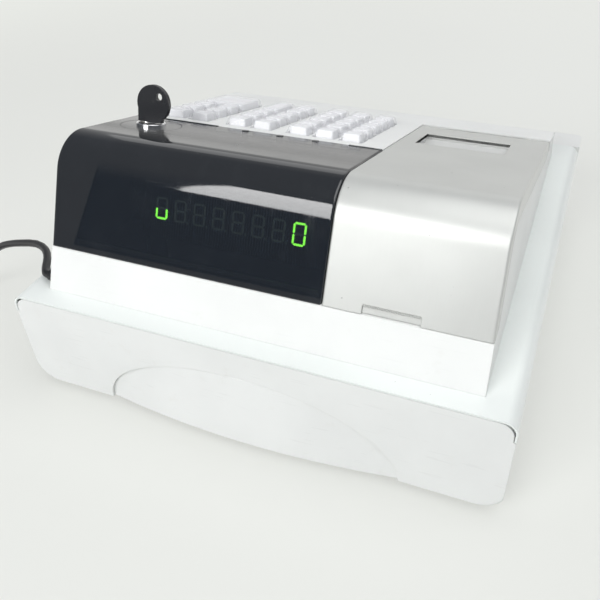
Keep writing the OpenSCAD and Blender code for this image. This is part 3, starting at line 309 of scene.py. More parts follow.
@dataclass(frozen=True)
class PaintedSteel:
    """Baked enamel on sheet steel: orange peel, small chips, and a patchy, greyer and darker tone low down.
    """

    name: str
    tone: Triple
    peel: float = 2.4
    rough: float = 0.3
    low_down_span: Pair = (6.0, 26.0)
    low_down_tone: Triple = (0.42, 0.41, 0.37)
    primer: Triple = (0.25, 0.24, 0.23)

    def make(self) -> Material:
        """Build the nodes of this finish.

        Returns:
            The material.
        """
        p = Paint(self.name)
        tone = p.blend(p.noise(90, 3).ramp(0.35, 0.7), self.tone, tint(self.tone, 0.965))
        # Darker, greyer and rougher towards the bottom, in patches.
        height = p.axis("Z").ramp(*(z * MM for z in self.low_down_span))
        low = (1 - height) * p.noise(14, 4).ramp(0.4, 0.75) * 0.3
        speck = p.noise(2.2, 1, shift=(0.7, 0.1, 0.5)).ramp(0.80, 0.83)
        streak = p.noise(2.5, 2, (1.0, 0.05, 1.0)).ramp(0.62, 0.72)
        fine = p.noise(0.8, 2)
        peel = p.noise(self.peel, 2) + fine * 0.25 - speck * 2.0
        return p.surface(
            Base_Color=p.blend(speck * 0.7, p.blend(low, tone, self.low_down_tone), self.primer),
            Roughness=self.rough + fine * 0.08 + streak * 0.07 + low * 0.4,
            Normal=p.bump(peel, 0.35, 0.05, 0.3),
            Coat_Weight=0.25,
            Coat_Roughness=0.15,
        )


@dataclass(frozen=True)
class SilverPaint:
    """Silver lacquer on plastic: flakes, fine lines down the slope and a few dark nicks."""

    name: str = "silver_lacquer"
    tone: Triple = (0.62, 0.63, 0.605)
    nicked: Triple = (0.13, 0.13, 0.12)
    rough: float = 0.40
    metal: float = 0.45

    def make(self) -> Material:
        """Build the nodes of this finish.

        Returns:
            The material.
        """
        p = Paint(self.name)
        flake = p.noise(0.35, 2, rough=0.7)
        lines = p.noise(0.45, 2, (1.0, 0.02, 0.02), 0.6)
        tone = p.blend(p.noise(40, 3).ramp(0.3, 0.75), self.tone, tint(self.tone, 0.94))
        tone = p.blend((lines - 0.35) * 0.35, tone, tint(self.tone, 1.08))
        tone = p.blend(flake.ramp(0.55, 0.8) * 0.15, tone, tint(self.tone, 1.2))
        nick = p.noise(2.6, 2, (0.7, 1.0, 1.0), shift=(0.31, 0.12, 0.62)).ramp(0.775, 0.80)
        return p.surface(
            Base_Color=p.blend(nick * 0.75, tone, self.nicked),
            Roughness=self.rough + (lines - 0.5) * 0.12 + (flake - 0.5) * 0.08,
            Metallic=self.metal - nick * 0.7,
            Normal=p.bump(lines * 0.3 + flake * 0.35 - nick * 1.5, 0.18, 0.03, 0.6),
        )


@dataclass(frozen=True)
class SmokedHood:
    """Smoked acrylic: near black and glossy, with a printed mask whose window shows the tube."""

    name: str = "smoked_acrylic"
    glass: Triple = (0.006, 0.010, 0.016)
    mask: Triple = (0.016, 0.018, 0.021)
    ink: Triple = (0.112, 0.112, 0.106)
    smear: Triple = (0.10, 0.11, 0.12)
    dust: Triple = (0.35, 0.35, 0.34)
    window_foot: Pair = (113.5, 151.0)
    window_head: Pair = (126.4, 112.5)
    window_edge: float = 0.6
    above_span: Pair = (153.0, 163.0)
    below_span: Pair = (111.0, 112.0)
    fade_span: Pair = (74.0, 99.0)
    dot_pitch: float = 1.0
    ior: float = 1.8

    def make(self) -> Material:
        """Build the nodes of this finish.

        Returns:
            The material.
        """
        p = Paint(self.name)
        (x0, z0), (x1, z1) = self.window_foot, self.window_head
        height = p.axis("Z")
        slant = p.axis("X") - (height - z0 * MM) * ((x1 - x0) / (z1 - z0))
        left = slant.ramp((x0 - self.window_edge) * MM, (x0 + self.window_edge) * MM)
        above = height.ramp(*(z * MM for z in self.above_span))
        below = 1 - height.ramp(*(z * MM for z in self.below_span))
        masked = left.either(above).either(below)
        span = {"From Min": self.fade_span[0] * MM, "From Max": self.fade_span[1] * MM}
        fade = p.node("MapRange", None, {"Value": p.axis("Y"), **span, "To Min": 1.0, "To Max": 0.0})
        fade = fade**1.6 * above
        dots = p.cells(1000 / self.dot_pitch, 0.15)
        tone = p.blend(masked, self.glass, self.mask)
        tone = p.blend(fade * (1 - dots.ramp(0.28, 0.5) * 0.5), tone, self.ink)
        smear = p.noise(16, 4, (1.0, 0.6, 0.6), 0.6).ramp(0.5, 0.8)
        dust = p.noise(1.4, 2, shift=(0.4, 0.8, 0.2)).ramp(0.74, 0.80)
        hair = p.noise(0.8, 1, (0.05, 1.0, 1.0)).ramp(0.70, 0.74)
        tone = p.blend(smear * 0.06, tone, self.smear)
        waves = p.noise(50, 3) * 0.3 + hair * 0.1 + p.noise(0.5, 1) * fade * 0.2
        return p.surface(
            Base_Color=p.blend(dust * 0.35, tone, self.dust),
            Roughness=0.05 + smear * 0.05 + dust * 0.2 + hair * 0.06 + fade * 0.2,
            Alpha=1 - (1 - masked) * 0.22,
            Normal=p.bump(waves, 0.12, 0.03, 0.5),
            IOR=self.ior,
        )


@dataclass(frozen=True)
class ClearCap:
    """Clear styrene of a keycap, with faint wear."""

    name: str = "clear_styrene"
    tone: Triple = (0.90, 0.90, 0.935)
    worn: Triple = (0.86, 0.86, 0.885)

    def make(self) -> Material:
        """Build the nodes of this finish.

        Returns:
            The material.
        """
        p = Paint(self.name)
        wear = p.noise(14, 3).ramp(0.5, 0.9)
        scuff = p.noise(0.8, 1, (0.08, 1.0, 1.0)).ramp(0.68, 0.74)
        return p.surface(
            Base_Color=p.blend(wear, self.tone, self.worn),
            Roughness=0.05 + wear * 0.06 + scuff * 0.15,
            Normal=p.bump(p.noise(6, 2) * 0.4 + scuff * 0.1, 0.1, 0.02, 0.35),
            IOR=1.5,
            Alpha=0.22 + wear * 0.05,
        )


@dataclass(frozen=True)
class BareMetal:
    """Bare or plated metal: rolling marks, spangle and soft handling wear."""

    name: str
    tone: Triple
    rough: float = 0.32
    spangle: float = 12.0
    brush: Triple = (1.0, 0.05, 1.0)
    tarnish: Triple = (0.3, 0.27, 0.22)

    def make(self) -> Material:
        """Build the nodes of this finish.

        Returns:
            The material.
        """
        p = Paint(self.name)
        lines = p.noise(0.7, 3, self.brush, 0.6)
        patch = p.noise(self.spangle, 3)
        tone = p.blend(patch.ramp(0.3, 0.7), tint(self.tone, 0.85), tint(self.tone, 1.08))
        dull = p.noise(4, 4, shift=(0.5, 0.2, 0.9)).ramp(0.66, 0.8) * 0.5
        return p.surface(
            Base_Color=p.blend(dull, tone, self.tarnish),
            Roughness=self.rough + (lines - 0.5) * 0.25 + (patch - 0.5) * 0.15,
            Metallic=1.0,
            Normal=p.bump(lines + patch * 0.3, 0.25, 0.03, 0.25),
        )


@dataclass(frozen=True)
class Rubber:
    """Black rubber or soft PVC with a dull bloom."""

    name: str
    tone: Triple = (0.016, 0.016, 0.018)
    rough: float = 0.5
    bloom: Triple = (0.09, 0.088, 0.085)

    def make(self) -> Material:
        """Build the nodes of this finish.

        Returns:
            The material.
        """
        p = Paint(self.name)
        bloom = p.noise(8, 4).ramp(0.45, 0.8)
        return p.surface(
            Base_Color=p.blend(bloom * 0.35, self.tone, self.bloom),
            Roughness=self.rough + bloom * 0.2,
            Normal=p.bump(p.noise(0.5, 3), 0.3, 0.04, 0.4),
        )


class Glow(Enum):
    """How a bar of the display stands."""

    LIT = "lit"
    DIM = "dim"


@dataclass(frozen=True)
class Phosphor:
    """A display bar of one tone, or of two that its mesh mixes, with a glow: the tube's own glow on lit bars,
    a painted glow on the unlit, dim bars.
    """

    state: Glow
    tones: tuple[Triple, ...]
    glows: tuple[Triple, Triple]
    strength: float

    def make(self) -> Material:
        """Build the nodes of this finish.

        Returns:
            The material.
        """
        p = Paint(f"phosphor_{self.state.value}")
        mesh = p.noise(0.45, 1).ramp(0.3, 0.7)
        return p.surface(
            Base_Color=p.blend(mesh, *self.tones) if len(self.tones) > 1 else self.tones[0],
            Emission_Color=p.blend(mesh, *self.glows),
            Emission_Strength=self.strength,
            Roughness=0.6,
        )


@dataclass(frozen=True)
class TubeGlass:
    """The display tube and its small board: black glass over a fine grid, with patches of painted sheen."""

    name: str = "tube_glass"
    glass: Triple = (0.006, 0.010, 0.012)
    wire: Triple = (0.022, 0.030, 0.030)
    painted_sheen: Triple = (0.03, 0.045, 0.05)

    def make(self) -> Material:
        """Build the nodes of this finish.

        Returns:
            The material.
        """
        p = Paint(self.name)
        grid = p.bands("X", 180.0)
        tone = p.blend(grid * 0.35, self.glass, self.wire)
        return p.surface(
            # Random patches lighten the glass: a painted sheen.
            Base_Color=p.blend(p.noise(20, 3).ramp(0.5, 0.8) * 0.2, tone, self.painted_sheen),
            Roughness=0.12 + grid * 0.08,
            Normal=p.bump(p.noise(4, 2), 0.1, 0.03, 0.3),
        )


@dataclass(frozen=True)
class BoardLacquer:
    """A circuit board: green lacquer over copper tracks with solder points."""

    name: str = "board_lacquer"
    lacquer: tuple[Triple, Triple] = ((0.02, 0.11, 0.05), (0.025, 0.14, 0.06))
    track: Triple = (0.10, 0.26, 0.10)
    solder: Triple = (0.55, 0.56, 0.55)

    def make(self) -> Material:
        """Build the nodes of this finish.

        Returns:
            The material.
        """
        p = Paint(self.name)
        one, two = self.lacquer
        inputs = {"Vector": p.place(), "Scale": 90.0, "Mortar Size": 0.03}
        colours = {"Color1": one, "Color2": two, "Mortar": self.track}
        track = p.node("TexBrick", {"offset": 0.37, "squash": 1.6}, {**inputs, **colours})
        solder = 1 - p.cells(260.0).ramp(0.16, 0.22)
        return p.surface(
            Base_Color=p.blend(solder, track, self.solder),
            Roughness=0.3 + solder * 0.1,
            Metallic=solder * 0.9,
            Normal=p.bump(solder + p.noise(1.5, 2) * 0.3, 0.4, 0.15, 0.2),
        )


@dataclass(frozen=True)
class Layered:
    """Fine layers side by side: wound wire, stacked laminations or the edges of a paper roll."""

    name: str
    tone: Triple
    dark: Triple
    pitch: float
    direction: str
    metal: float
    rough: float

    def make(self) -> Material:
        """Build the nodes of this finish.

        Returns:
            The material.
        """
        p = Paint(self.name)
        band = p.bands(self.direction, 50 / self.pitch, Distortion=0.4, Detail=1.0)
        patch = p.noise(9, 3)
        tone = p.blend(band, self.dark, self.tone)
        return p.surface(
            Base_Color=p.blend(patch.ramp(0.55, 0.8) * 0.3, tone, self.dark),
            Roughness=self.rough + patch * 0.1,
            Metallic=self.metal,
            Normal=p.bump(band, 0.4, self.pitch * 0.15, 0.2),
        )


class Finishes:
    """Every finish of the machine, made once."""

    def __init__(self) -> None:
        """Mix them all."""
        mould, metal, wound = MouldedPlastic, BareMetal, Layered
        self.case = mould("white_moulding", (0.875, 0.885, 0.865), 0.6, 0.02, 0.52, 0.6, 0.3, 0.3).make()
        self.panel = mould("panel_moulding", (0.81, 0.82, 0.805), 0.9, 0.035, 0.45, 0.5, 0.6).make()
        self.drawer = mould("drawer_moulding", (0.80, 0.81, 0.79), 0.7, 0.03, 0.42, 0.6, 0.4).make()
        self.tray = mould("black_moulding", (0.035, 0.035, 0.038), 0.8, 0.05, 0.5, 0.5, 0.6).make()
        self.bow = mould("key_bow_moulding", (0.016, 0.017, 0.020), 0.5, 0.012, 0.26, 0.5, 0.4).make()
        self.core = mould("key_core_moulding", (0.93, 0.935, 0.945), 0.5, 0.006, 0.3, 0.3, 0.1).make()
        # Lighter, non-metal stand-in for the cover's silver on the recess walls and tear teeth: painted light
        # that lifts surfaces which would read dark in shade.
        self.recess = mould("recess_lightened_silver", (0.66, 0.665, 0.65), 0.5, 0.02, 0.4, 0.4, 0.3).make()
        self.enamel = PaintedSteel("white_enamel", (0.83, 0.865, 0.84)).make()
        self.silver = SilverPaint().make()
        self.hood = SmokedHood().make()
        self.clear = ClearCap().make()
        self.steel = metal("zinc_plate", (0.62, 0.63, 0.64)).make()
        self.chrome = metal("lock_chrome", (0.80, 0.80, 0.81), 0.14, 6.0, (1.0, 1.0, 0.1)).make()
        self.rotor = metal("rotor_nickel", (0.66, 0.65, 0.62), 0.24, 5.0, EVEN).make()
        self.frame = metal("printer_steel", (0.42, 0.43, 0.45), 0.36, 10.0).make()
        self.cord = Rubber("cord_jacket", (0.014, 0.014, 0.015), 0.42).make()
        self.foot = Rubber("foot_rubber").make()
        self.platen = Rubber("platen_rubber", (0.02, 0.02, 0.021), 0.6).make()
        green, shine = ((0.05, 0.2, 0.04),), ((0.20, 1.0, 0.05), (0.30, 1.0, 0.10))
        self.lit = Phosphor(Glow.LIT, green, shine, 20.0).make()
        # The dim bars are unlit, yet glow faintly: a painted glow that keeps them visible behind the smoked
        # hood.
        grey = ((0.10, 0.125, 0.10), (0.15, 0.18, 0.15))
        unlit_painted_glow = ((0.030, 0.044, 0.036), (0.045, 0.060, 0.050))
        self.dim = Phosphor(Glow.DIM, grey, unlit_painted_glow, 5.0).make()
        self.tube = TubeGlass().make()
        self.board = BoardLacquer().make()
        copper, iron, paper = (0.62, 0.27, 0.10), (0.20, 0.20, 0.21), (0.86, 0.86, 0.82)
        self.copper = wound("enamelled_wire", copper, (0.30, 0.10, 0.03), 0.8, "Z", 0.9, 0.3).make()
        self.iron = wound("laminated_iron", iron, (0.08, 0.08, 0.085), 0.8, "Z", 0.6, 0.4).make()
        self.paper = wound("paper_web", paper, (0.74, 0.74, 0.70), 0.5, "X", 0.0, 0.7).make()


# ---- bench


class Pick(Enum):
    """What is picked in edit mode."""

    CORNERS = "VERT"
    EDGES = "EDGE"
    FACES = "FACE"


class Shape:
    """One mesh on the bench, in millimetres, shaped by Blender's own operators."""

    def __init__(self, obj: bpy.types.Object) -> None:
        """Take an object."""
        self.obj = obj

    # -- starting

    @staticmethod
    def clear() -> None:
        """Leave edit mode and deselect everything."""
        if bpy.context.mode != "OBJECT":
            bpy.ops.object.mode_set(mode="OBJECT")
        bpy.ops.object.select_all(action="DESELECT")

    @staticmethod
    def apply() -> None:
        """Bring the selected object's place, turn and size into its mesh."""
        bpy.ops.object.transform_apply(location=True, rotation=True, scale=True)

    @classmethod
    def start(cls, primitive: Callable[..., Any], **settings: Any) -> Shape:
        """Start from one of Blender's primitives.

        Args:
            primitive: The operator that adds it.
            settings: The operator's own.

        Returns:
            The shape.
        """
        cls.clear()
        primitive(**settings)
        cls.apply()
        return cls(bpy.context.object)

    @classmethod
    def block(cls, low: Point, high: Point) -> Shape:
        """Start from a cube between two corners."""
        middle, size = zip(*(((a + b) / 2, b - a) for a, b in zip(low, high)))
        return cls.start(bpy.ops.mesh.primitive_cube_add, size=1, location=middle, scale=size)

    @classmethod
    def rod(
        cls, radius: float, foot: Point, top: Point, sides: int, top_radius: float | None = None
    ) -> Shape:
        """Start from a cylinder or cone between two points.

        Args:
            radius: Radius at the foot.
            foot: Middle of the foot.
            top: Middle of the top.
            sides: Number of sides.
            top_radius: Radius at the top, the same where it is None.

        Returns:
            The shape.
        """
        a, b = Vector(foot), Vector(top)
        return cls.start(
            bpy.ops.mesh.primitive_cone_add,
            vertices=sides,
            radius1=radius,
            radius2=radius if top_radius is None else top_radius,
            depth=(b - a).length,
            location=(a + b) / 2,
            rotation=Vector((0, 0, 1)).rotation_difference(b - a).to_euler(),
        )

    @classmethod
    def plane(cls, width: float, length: float, middle: Point, angle: float) -> Shape:
        """Start from a flat rectangle, turned round X by an angle in radians."""
        made = cls.start(bpy.ops.mesh.primitive_plane_add, size=1)
        turned = Matrix.Rotation(angle, 4, "X") @ Matrix.Diagonal((width, length, 1, 1))
        return made.put(Matrix.Translation(middle) @ turned)

    @classmethod
    def ring(cls, major: float, minor: float, height: float) -> Shape:
        """Start from a torus round Z at a height."""
        sizes = {"major_radius": major, "minor_radius": minor, "major_segments": 40, "minor_segments": 8}
        return cls.start(bpy.ops.mesh.primitive_torus_add, location=(0, 0, height), **sizes)

    # -- picking and shaping

    def hold(self) -> None:
        """Leave edit mode with only this object selected."""
        self.clear()
        self.obj.select_set(True)
        bpy.context.view_layer.objects.active = self.obj

    def edit(self) -> None:
        """Open the mesh in edit mode."""
        if bpy.context.mode != "EDIT_MESH" or bpy.context.object is not self.obj:
            self.hold()
            bpy.ops.object.mode_set(mode="EDIT")

    def pick(self, kind: Pick, rule: Rule) -> Shape:
        """Select what a rule names.

        Args:
            kind: Corners, edges or faces.
            rule: Takes the middle and the normal, or an edge's direction, and says yes or no.

        Returns:
            This shape.
        """
        self.edit()
        bpy.ops.mesh.select_mode(type=kind.value)
        bpy.ops.mesh.select_all(action="DESELECT")
        mesh = bmesh.from_edit_mesh(self.obj.data)
        if kind is Pick.FACES:
            for face in mesh.faces:
                face.select_set(rule(face.calc_center_median(), face.normal))
        elif kind is Pick.EDGES:
            for edge in mesh.edges:
                a, b = (corner.co for corner in edge.verts)
                edge.select_set(rule((a + b) / 2, (b - a).normalized()))
        else:
            for corner in mesh.verts:
                corner.select_set(rule(corner.co, corner.normal))
        mesh.select_flush_mode()
        bmesh.update_edit_mesh(self.obj.data)
        return self

    def faces(self, way: Point) -> Shape:
        """Select the faces that look one way."""
        return self.pick(Pick.FACES, lambda c, n: n.dot(Vector(way)) > PARALLEL)

    def all(self) -> Shape:
        """Select the whole mesh."""
        self.edit()
        bpy.ops.mesh.select_all(action="SELECT")
        return self

    def extrude(self, move: Point) -> Shape:
        """Extrude what is picked."""
        bpy.ops.mesh.extrude_region_move(TRANSFORM_OT_translate={"value": tuple(move)})
        return self

    def inset(self, width: float, depth: float = 0.0) -> Shape:
        """Inset the picked faces."""
        bpy.ops.mesh.inset(thickness=width, depth=depth)
        return self

    def bevel(self, width: float, steps: int) -> Shape:
        """Bevel the picked edges."""
        bpy.ops.mesh.bevel(offset=width, segments=steps, affect="EDGES")
        return self

    def soften(self, rule: Rule, width: float, steps: int = 3) -> Shape:
        """Bevel the edges that a rule names."""
        return self.pick(Pick.EDGES, rule).bevel(width, steps)

    def spin(self, centre: Point, angle: float, steps: int) -> Shape:
        """Spin what is picked round X by an angle in degrees, right-handed."""
        bpy.ops.mesh.spin(steps=steps, angle=-math.radians(angle), center=centre, axis=(1, 0, 0))
        return self

    def slice(self, point: Point, normal: Point, drop: bool = True, fill: bool = True) -> Shape:
        """Cut by a plane.

        Args:
            point: A point on the plane.
            normal: Its normal.
            drop: Whether what lies on the normal's side goes.
            fill: Whether the cut is closed.

        Returns:
            This shape.
        """
        self.all()
        bpy.ops.mesh.bisect(plane_co=point, plane_no=normal, use_fill=fill, clear_outer=drop)
        return self

    def drop(self, kind: str = "FACE") -> Shape:
        """Delete what is picked."""
        bpy.ops.mesh.delete(type=kind)
        return self

    def shift(self, move: Point) -> Shape:
        """Move what is picked."""
        bpy.ops.transform.translate(value=tuple(move))
        return self

    def resize(self, factors: Point, centre: Point) -> Shape:
        """Scale what is picked about a centre."""
        bpy.ops.transform.resize(value=tuple(factors), center_override=tuple(centre))
        return self

    def lean(self, rule: Callable[[Vector], Vector]) -> Shape:
        """Move every corner by a formula, such as a wall's draft.

        Args:
            rule: Takes a corner's place and gives its new one.

        Returns:
            This shape.
        """
        self.hold()
        for corner in self.obj.data.vertices:
            corner.co = rule(corner.co.copy())
        return self

    def outwards(self) -> Shape:
        """Merge doubles and point the faces outwards.

        Returns:
            This shape.
        """
        self.all()
        bpy.ops.mesh.remove_doubles(threshold=0.002)
        bpy.ops.mesh.normals_make_consistent(inside=False)
        return self

    def face_towards(self, point: Point, normal: Point) -> Shape:
        """Turn an open sheet to look one way.

        Args:
            point: A point near the face that is asked.
            normal: The way that this face has to look.

        Returns:
            This shape.
        """
        self.outwards().hold()
        near = min(self.obj.data.polygons, key=lambda face: (Vector(point) - face.center).length)
        if near.normal.dot(Vector(normal)) < 0:
            self.all()
            bpy.ops.mesh.flip_normals()
        return self

    def modifier(self, kind: str, **settings: Any) -> Shape:
        """Add a modifier and apply it.

        Args:
            kind: The modifier's type.
            settings: Its settings.

        Returns:
            This shape.
        """
        self.hold()
        bpy.ops.object.modifier_add(type=kind)
        made = self.obj.modifiers[-1]
        for key, value in settings.items():
            setattr(made, key, value)
        bpy.ops.object.modifier_apply(modifier=made.name)
        return self

    def thicken(self, thickness: float, side: float = -1.0) -> Shape:
        """Give an open sheet its wall, inwards, or outwards where side is 1."""
        return self.modifier("SOLIDIFY", thickness=thickness, offset=side, use_even_offset=True)

    def cut(self, other: Shape, operation: str = "DIFFERENCE") -> Shape:
        """Take another shape away, which is used up.

        Args:
            other: The tool.
            operation: The boolean's kind.

        Returns:
            This shape.
        """
        self.modifier("BOOLEAN", operation=operation, object=other.obj, solver="EXACT")
        bpy.data.objects.remove(other.obj, do_unlink=True)
        return self

    def fuse(self, other: Shape) -> Shape:
        """Fuse with another shape."""
        return self.cut(other, "UNION")

    def join(self, *others: Shape) -> Shape:
        """Keep other shapes in the same mesh, without a boolean.

        Args:
            others: What joins.

        Returns:
            This shape.
        """
        self.hold()
        for other in others:
            other.obj.select_set(True)
        bpy.ops.object.join()
        return self

    def put(self, matrix: Matrix) -> Shape:
        """Put the mesh by a matrix.

        Args:
            matrix: The place, in millimetres.

        Returns:
            This shape.
        """
        self.hold()
        self.obj.matrix_world = matrix
        self.apply()
        return self

    def copies(self, places: Iterable[Matrix]) -> list[Shape]:
        """Copies with their own meshes, one at each place.

        Args:
            places: A matrix for each copy.

        Returns:
            The copies.
        """
        self.clear()
        made = []
        for place in places:
            twin = self.obj.copy()
            twin.data = self.obj.data.copy()
            bpy.context.scene.collection.objects.link(twin)
            made.append(Shape(twin).put(place))
        return made

    def discard(self) -> None:
        """Throw a pattern away after its copies are made."""
        self.clear()
        bpy.data.objects.remove(self.obj, do_unlink=True)

    # -- finishing

    def done(
        self,
        name: str,
        body: str,
        finish: Material,
        slot: str,
        stands_for: Sequence[str] = (),
        smooth: float = 35.0,
    ) -> bpy.types.Object:
        """Finish the piece: shading, metres, name, material and its place in the machine.

        Args:
            name: The piece's name.
            body: The body that it rides on.
            finish: Its material.
            slot: The record's material slot, which is not used.
            stands_for: CAD nodes that it replaces.
            smooth: Edges flatter than this angle are shaded smooth.

        Returns:
            The finished object.
        """
        self.hold()
        bpy.ops.object.shade_smooth_by_angle(angle=math.radians(smooth))
        self.modifier("WEIGHTED_NORMAL", keep_sharp=True, weight=50)
        self.obj.scale = (MM, MM, MM)
        self.apply()
        self.obj.name = self.obj.data.name = name
        self.obj.data.materials.clear()
        self.obj.data.materials.append(finish)
        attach(self.obj, body)
        if stands_for:
            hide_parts(*stands_for)
        self.clear()
        LOG.info("piece %s: %d faces on %s", name, len(self.obj.data.polygons), body)
        return self.obj


def along(component: float) -> bool:
    """Whether a direction with this component lies along that axis."""
    return abs(component) > PARALLEL


def square(component: float) -> bool:
    """Whether a direction with this component lies square to that axis."""
    return abs(component) < NEAR


def at(x: float, y: float, z: float) -> Matrix:
    """A move, as a matrix."""
    return Matrix.Translation((x, y, z))


# ---- case form


@dataclass(frozen=True)
class CaseForm:
    """The upper case's outline, which its roof pieces and the controls on it share."""

    rear_y: float = 171.5
    cabinet_top: float = 81.0
    half_w: float = 144.5
    draft: float = 2.0
    side_x: float = 100.0
    ledge_rear: float = 14.2
    rear_tilt: float = 25.0
    deck_slope: float = 16.3
    corner: Pair = (113.8403, 174.2)
    crown: Pair = (99.70, 143.03)
    crown_r: float = 26.0
    crown_steps: int = 18
    lead: float = 2.0
    band_z: float = 108.0
    gap: float = 0.4
    hood_far_y: float = 28.0
    seam_x: float = -45.6
    skirt: float = 12.0
    edge_r: float = 1.3
    sharp: float = 60.0

    @staticmethod
    def _outward(angle: float) -> Vector:
        """The way square to X that stands at an angle over the customer's side, in degrees."""
        return Vector((0, math.cos(math.radians(angle)), math.sin(math.radians(angle))))

    def rear_y_at(self, z: float) -> float:
        """Place of the rear face at a height."""
        return self.rear_y - self.ledge_rear - (z - self.cabinet_top) * math.tan(math.radians(self.rear_tilt))

    def deck_z_at(self, y: float) -> float:
        """Height of the deck over a place."""
        return self.corner[1] - (self.corner[0] - y) * math.tan(math.radians(self.deck_slope))

    def half_w_at(self, z: float) -> float:
        """Half the case's width at a height."""
        return self.half_w - (z - self.cabinet_top) * math.tan(math.radians(self.draft))

    def on_deck(self, y: float, x: float = 0.0) -> Matrix:
        """A place on the deck: Y up the slope, Z square to it."""
        return at(x, y, self.deck_z_at(y)) @ Matrix.Rotation(math.radians(self.deck_slope), 4, "X")

    def on_rear(self, z: float, x: float = 0.0) -> Matrix:
        """A place on the rear face, as the customer sees it: X right, Y up, Z out."""
        lying = Matrix.Rotation(math.radians(90 - self.rear_tilt), 4, "X")
        return at(x, self.rear_y_at(z), z) @ Matrix.Rotation(math.pi, 4, "Z") @ lying

    def _drafted(self, place: Vector) -> Vector:
        """Lean a side wall in as it rises."""
        if abs(place.x) > self.side_x:
            place.x = math.copysign(abs(place.x) - self.half_w + self.half_w_at(place.z), place.x)
        return place

    def roof(self, x0: float, x1: float, wall: float, far_y: float) -> Shape:
        """Sweep a skin with two skirts up the rear face, round the crown and down the deck.

        Args:
            x0: Low end along X.
            x1: High end along X.
            wall: Thickness of the skin.
            far_y: Place of its far edge.

        Returns:
            The closed skin.
        """
        rear, deck = self._outward(self.rear_tilt), self._outward(90 + self.deck_slope)
        up, down = self._outward(90 + self.rear_tilt), self._outward(180 + self.deck_slope)
        z = self.band_z - self.skirt
        foot = Vector((0, self.rear_y_at(z), z))
        middle = Vector(((x0 + x1) / 2, 0, 0))
        inner = foot - rear * self.skirt
        turn = math.radians(180 + self.rear_tilt)
        skin = Shape.plane(x1 - x0, self.skirt, foot - rear * self.skirt / 2 + middle, turn)
        skin.all().drop("ONLY_FACE")
        skin.pick(Pick.EDGES, lambda c, d: along(d.x) and math.hypot(c.y - inner.y, c.z - inner.z) < NEAR)
        skin.drop("EDGE")
        crown = Vector((0, *self.crown))
        rise = (crown + rear * self.crown_r - foot).length
        fall = (crown.y + deck.y * self.crown_r - far_y) / -down.y + self.lead
        skin.all().extrude(up * (rise - self.lead)).extrude(up * self.lead)
        skin.spin(crown, 90 + self.deck_slope - self.rear_tilt, self.crown_steps)
        skin.extrude(down * self.lead).extrude(down * fall)
        skin.face_towards(foot + up * 20 + middle, rear).all()
        bpy.ops.mesh.select_mode(type="EDGE")
        bpy.ops.mesh.select_all(action="DESELECT")
        bpy.ops.mesh.edges_select_sharp(sharpness=math.radians(self.sharp))
        skin.bevel(self.edge_r, 4).lean(self._drafted).thicken(wall)
        skin.slice((0, 0, self.band_z + self.gap), (0, 0, -1))
        return skin.slice((0, far_y, 0), (0, -1, 0)).outwards()


# ---- sub-assemblies


@dataclass
class Assembly:
    """A sub-assembly: the case form that it follows and the finishes that it wears."""

    form: CaseForm
    finishes: Finishes


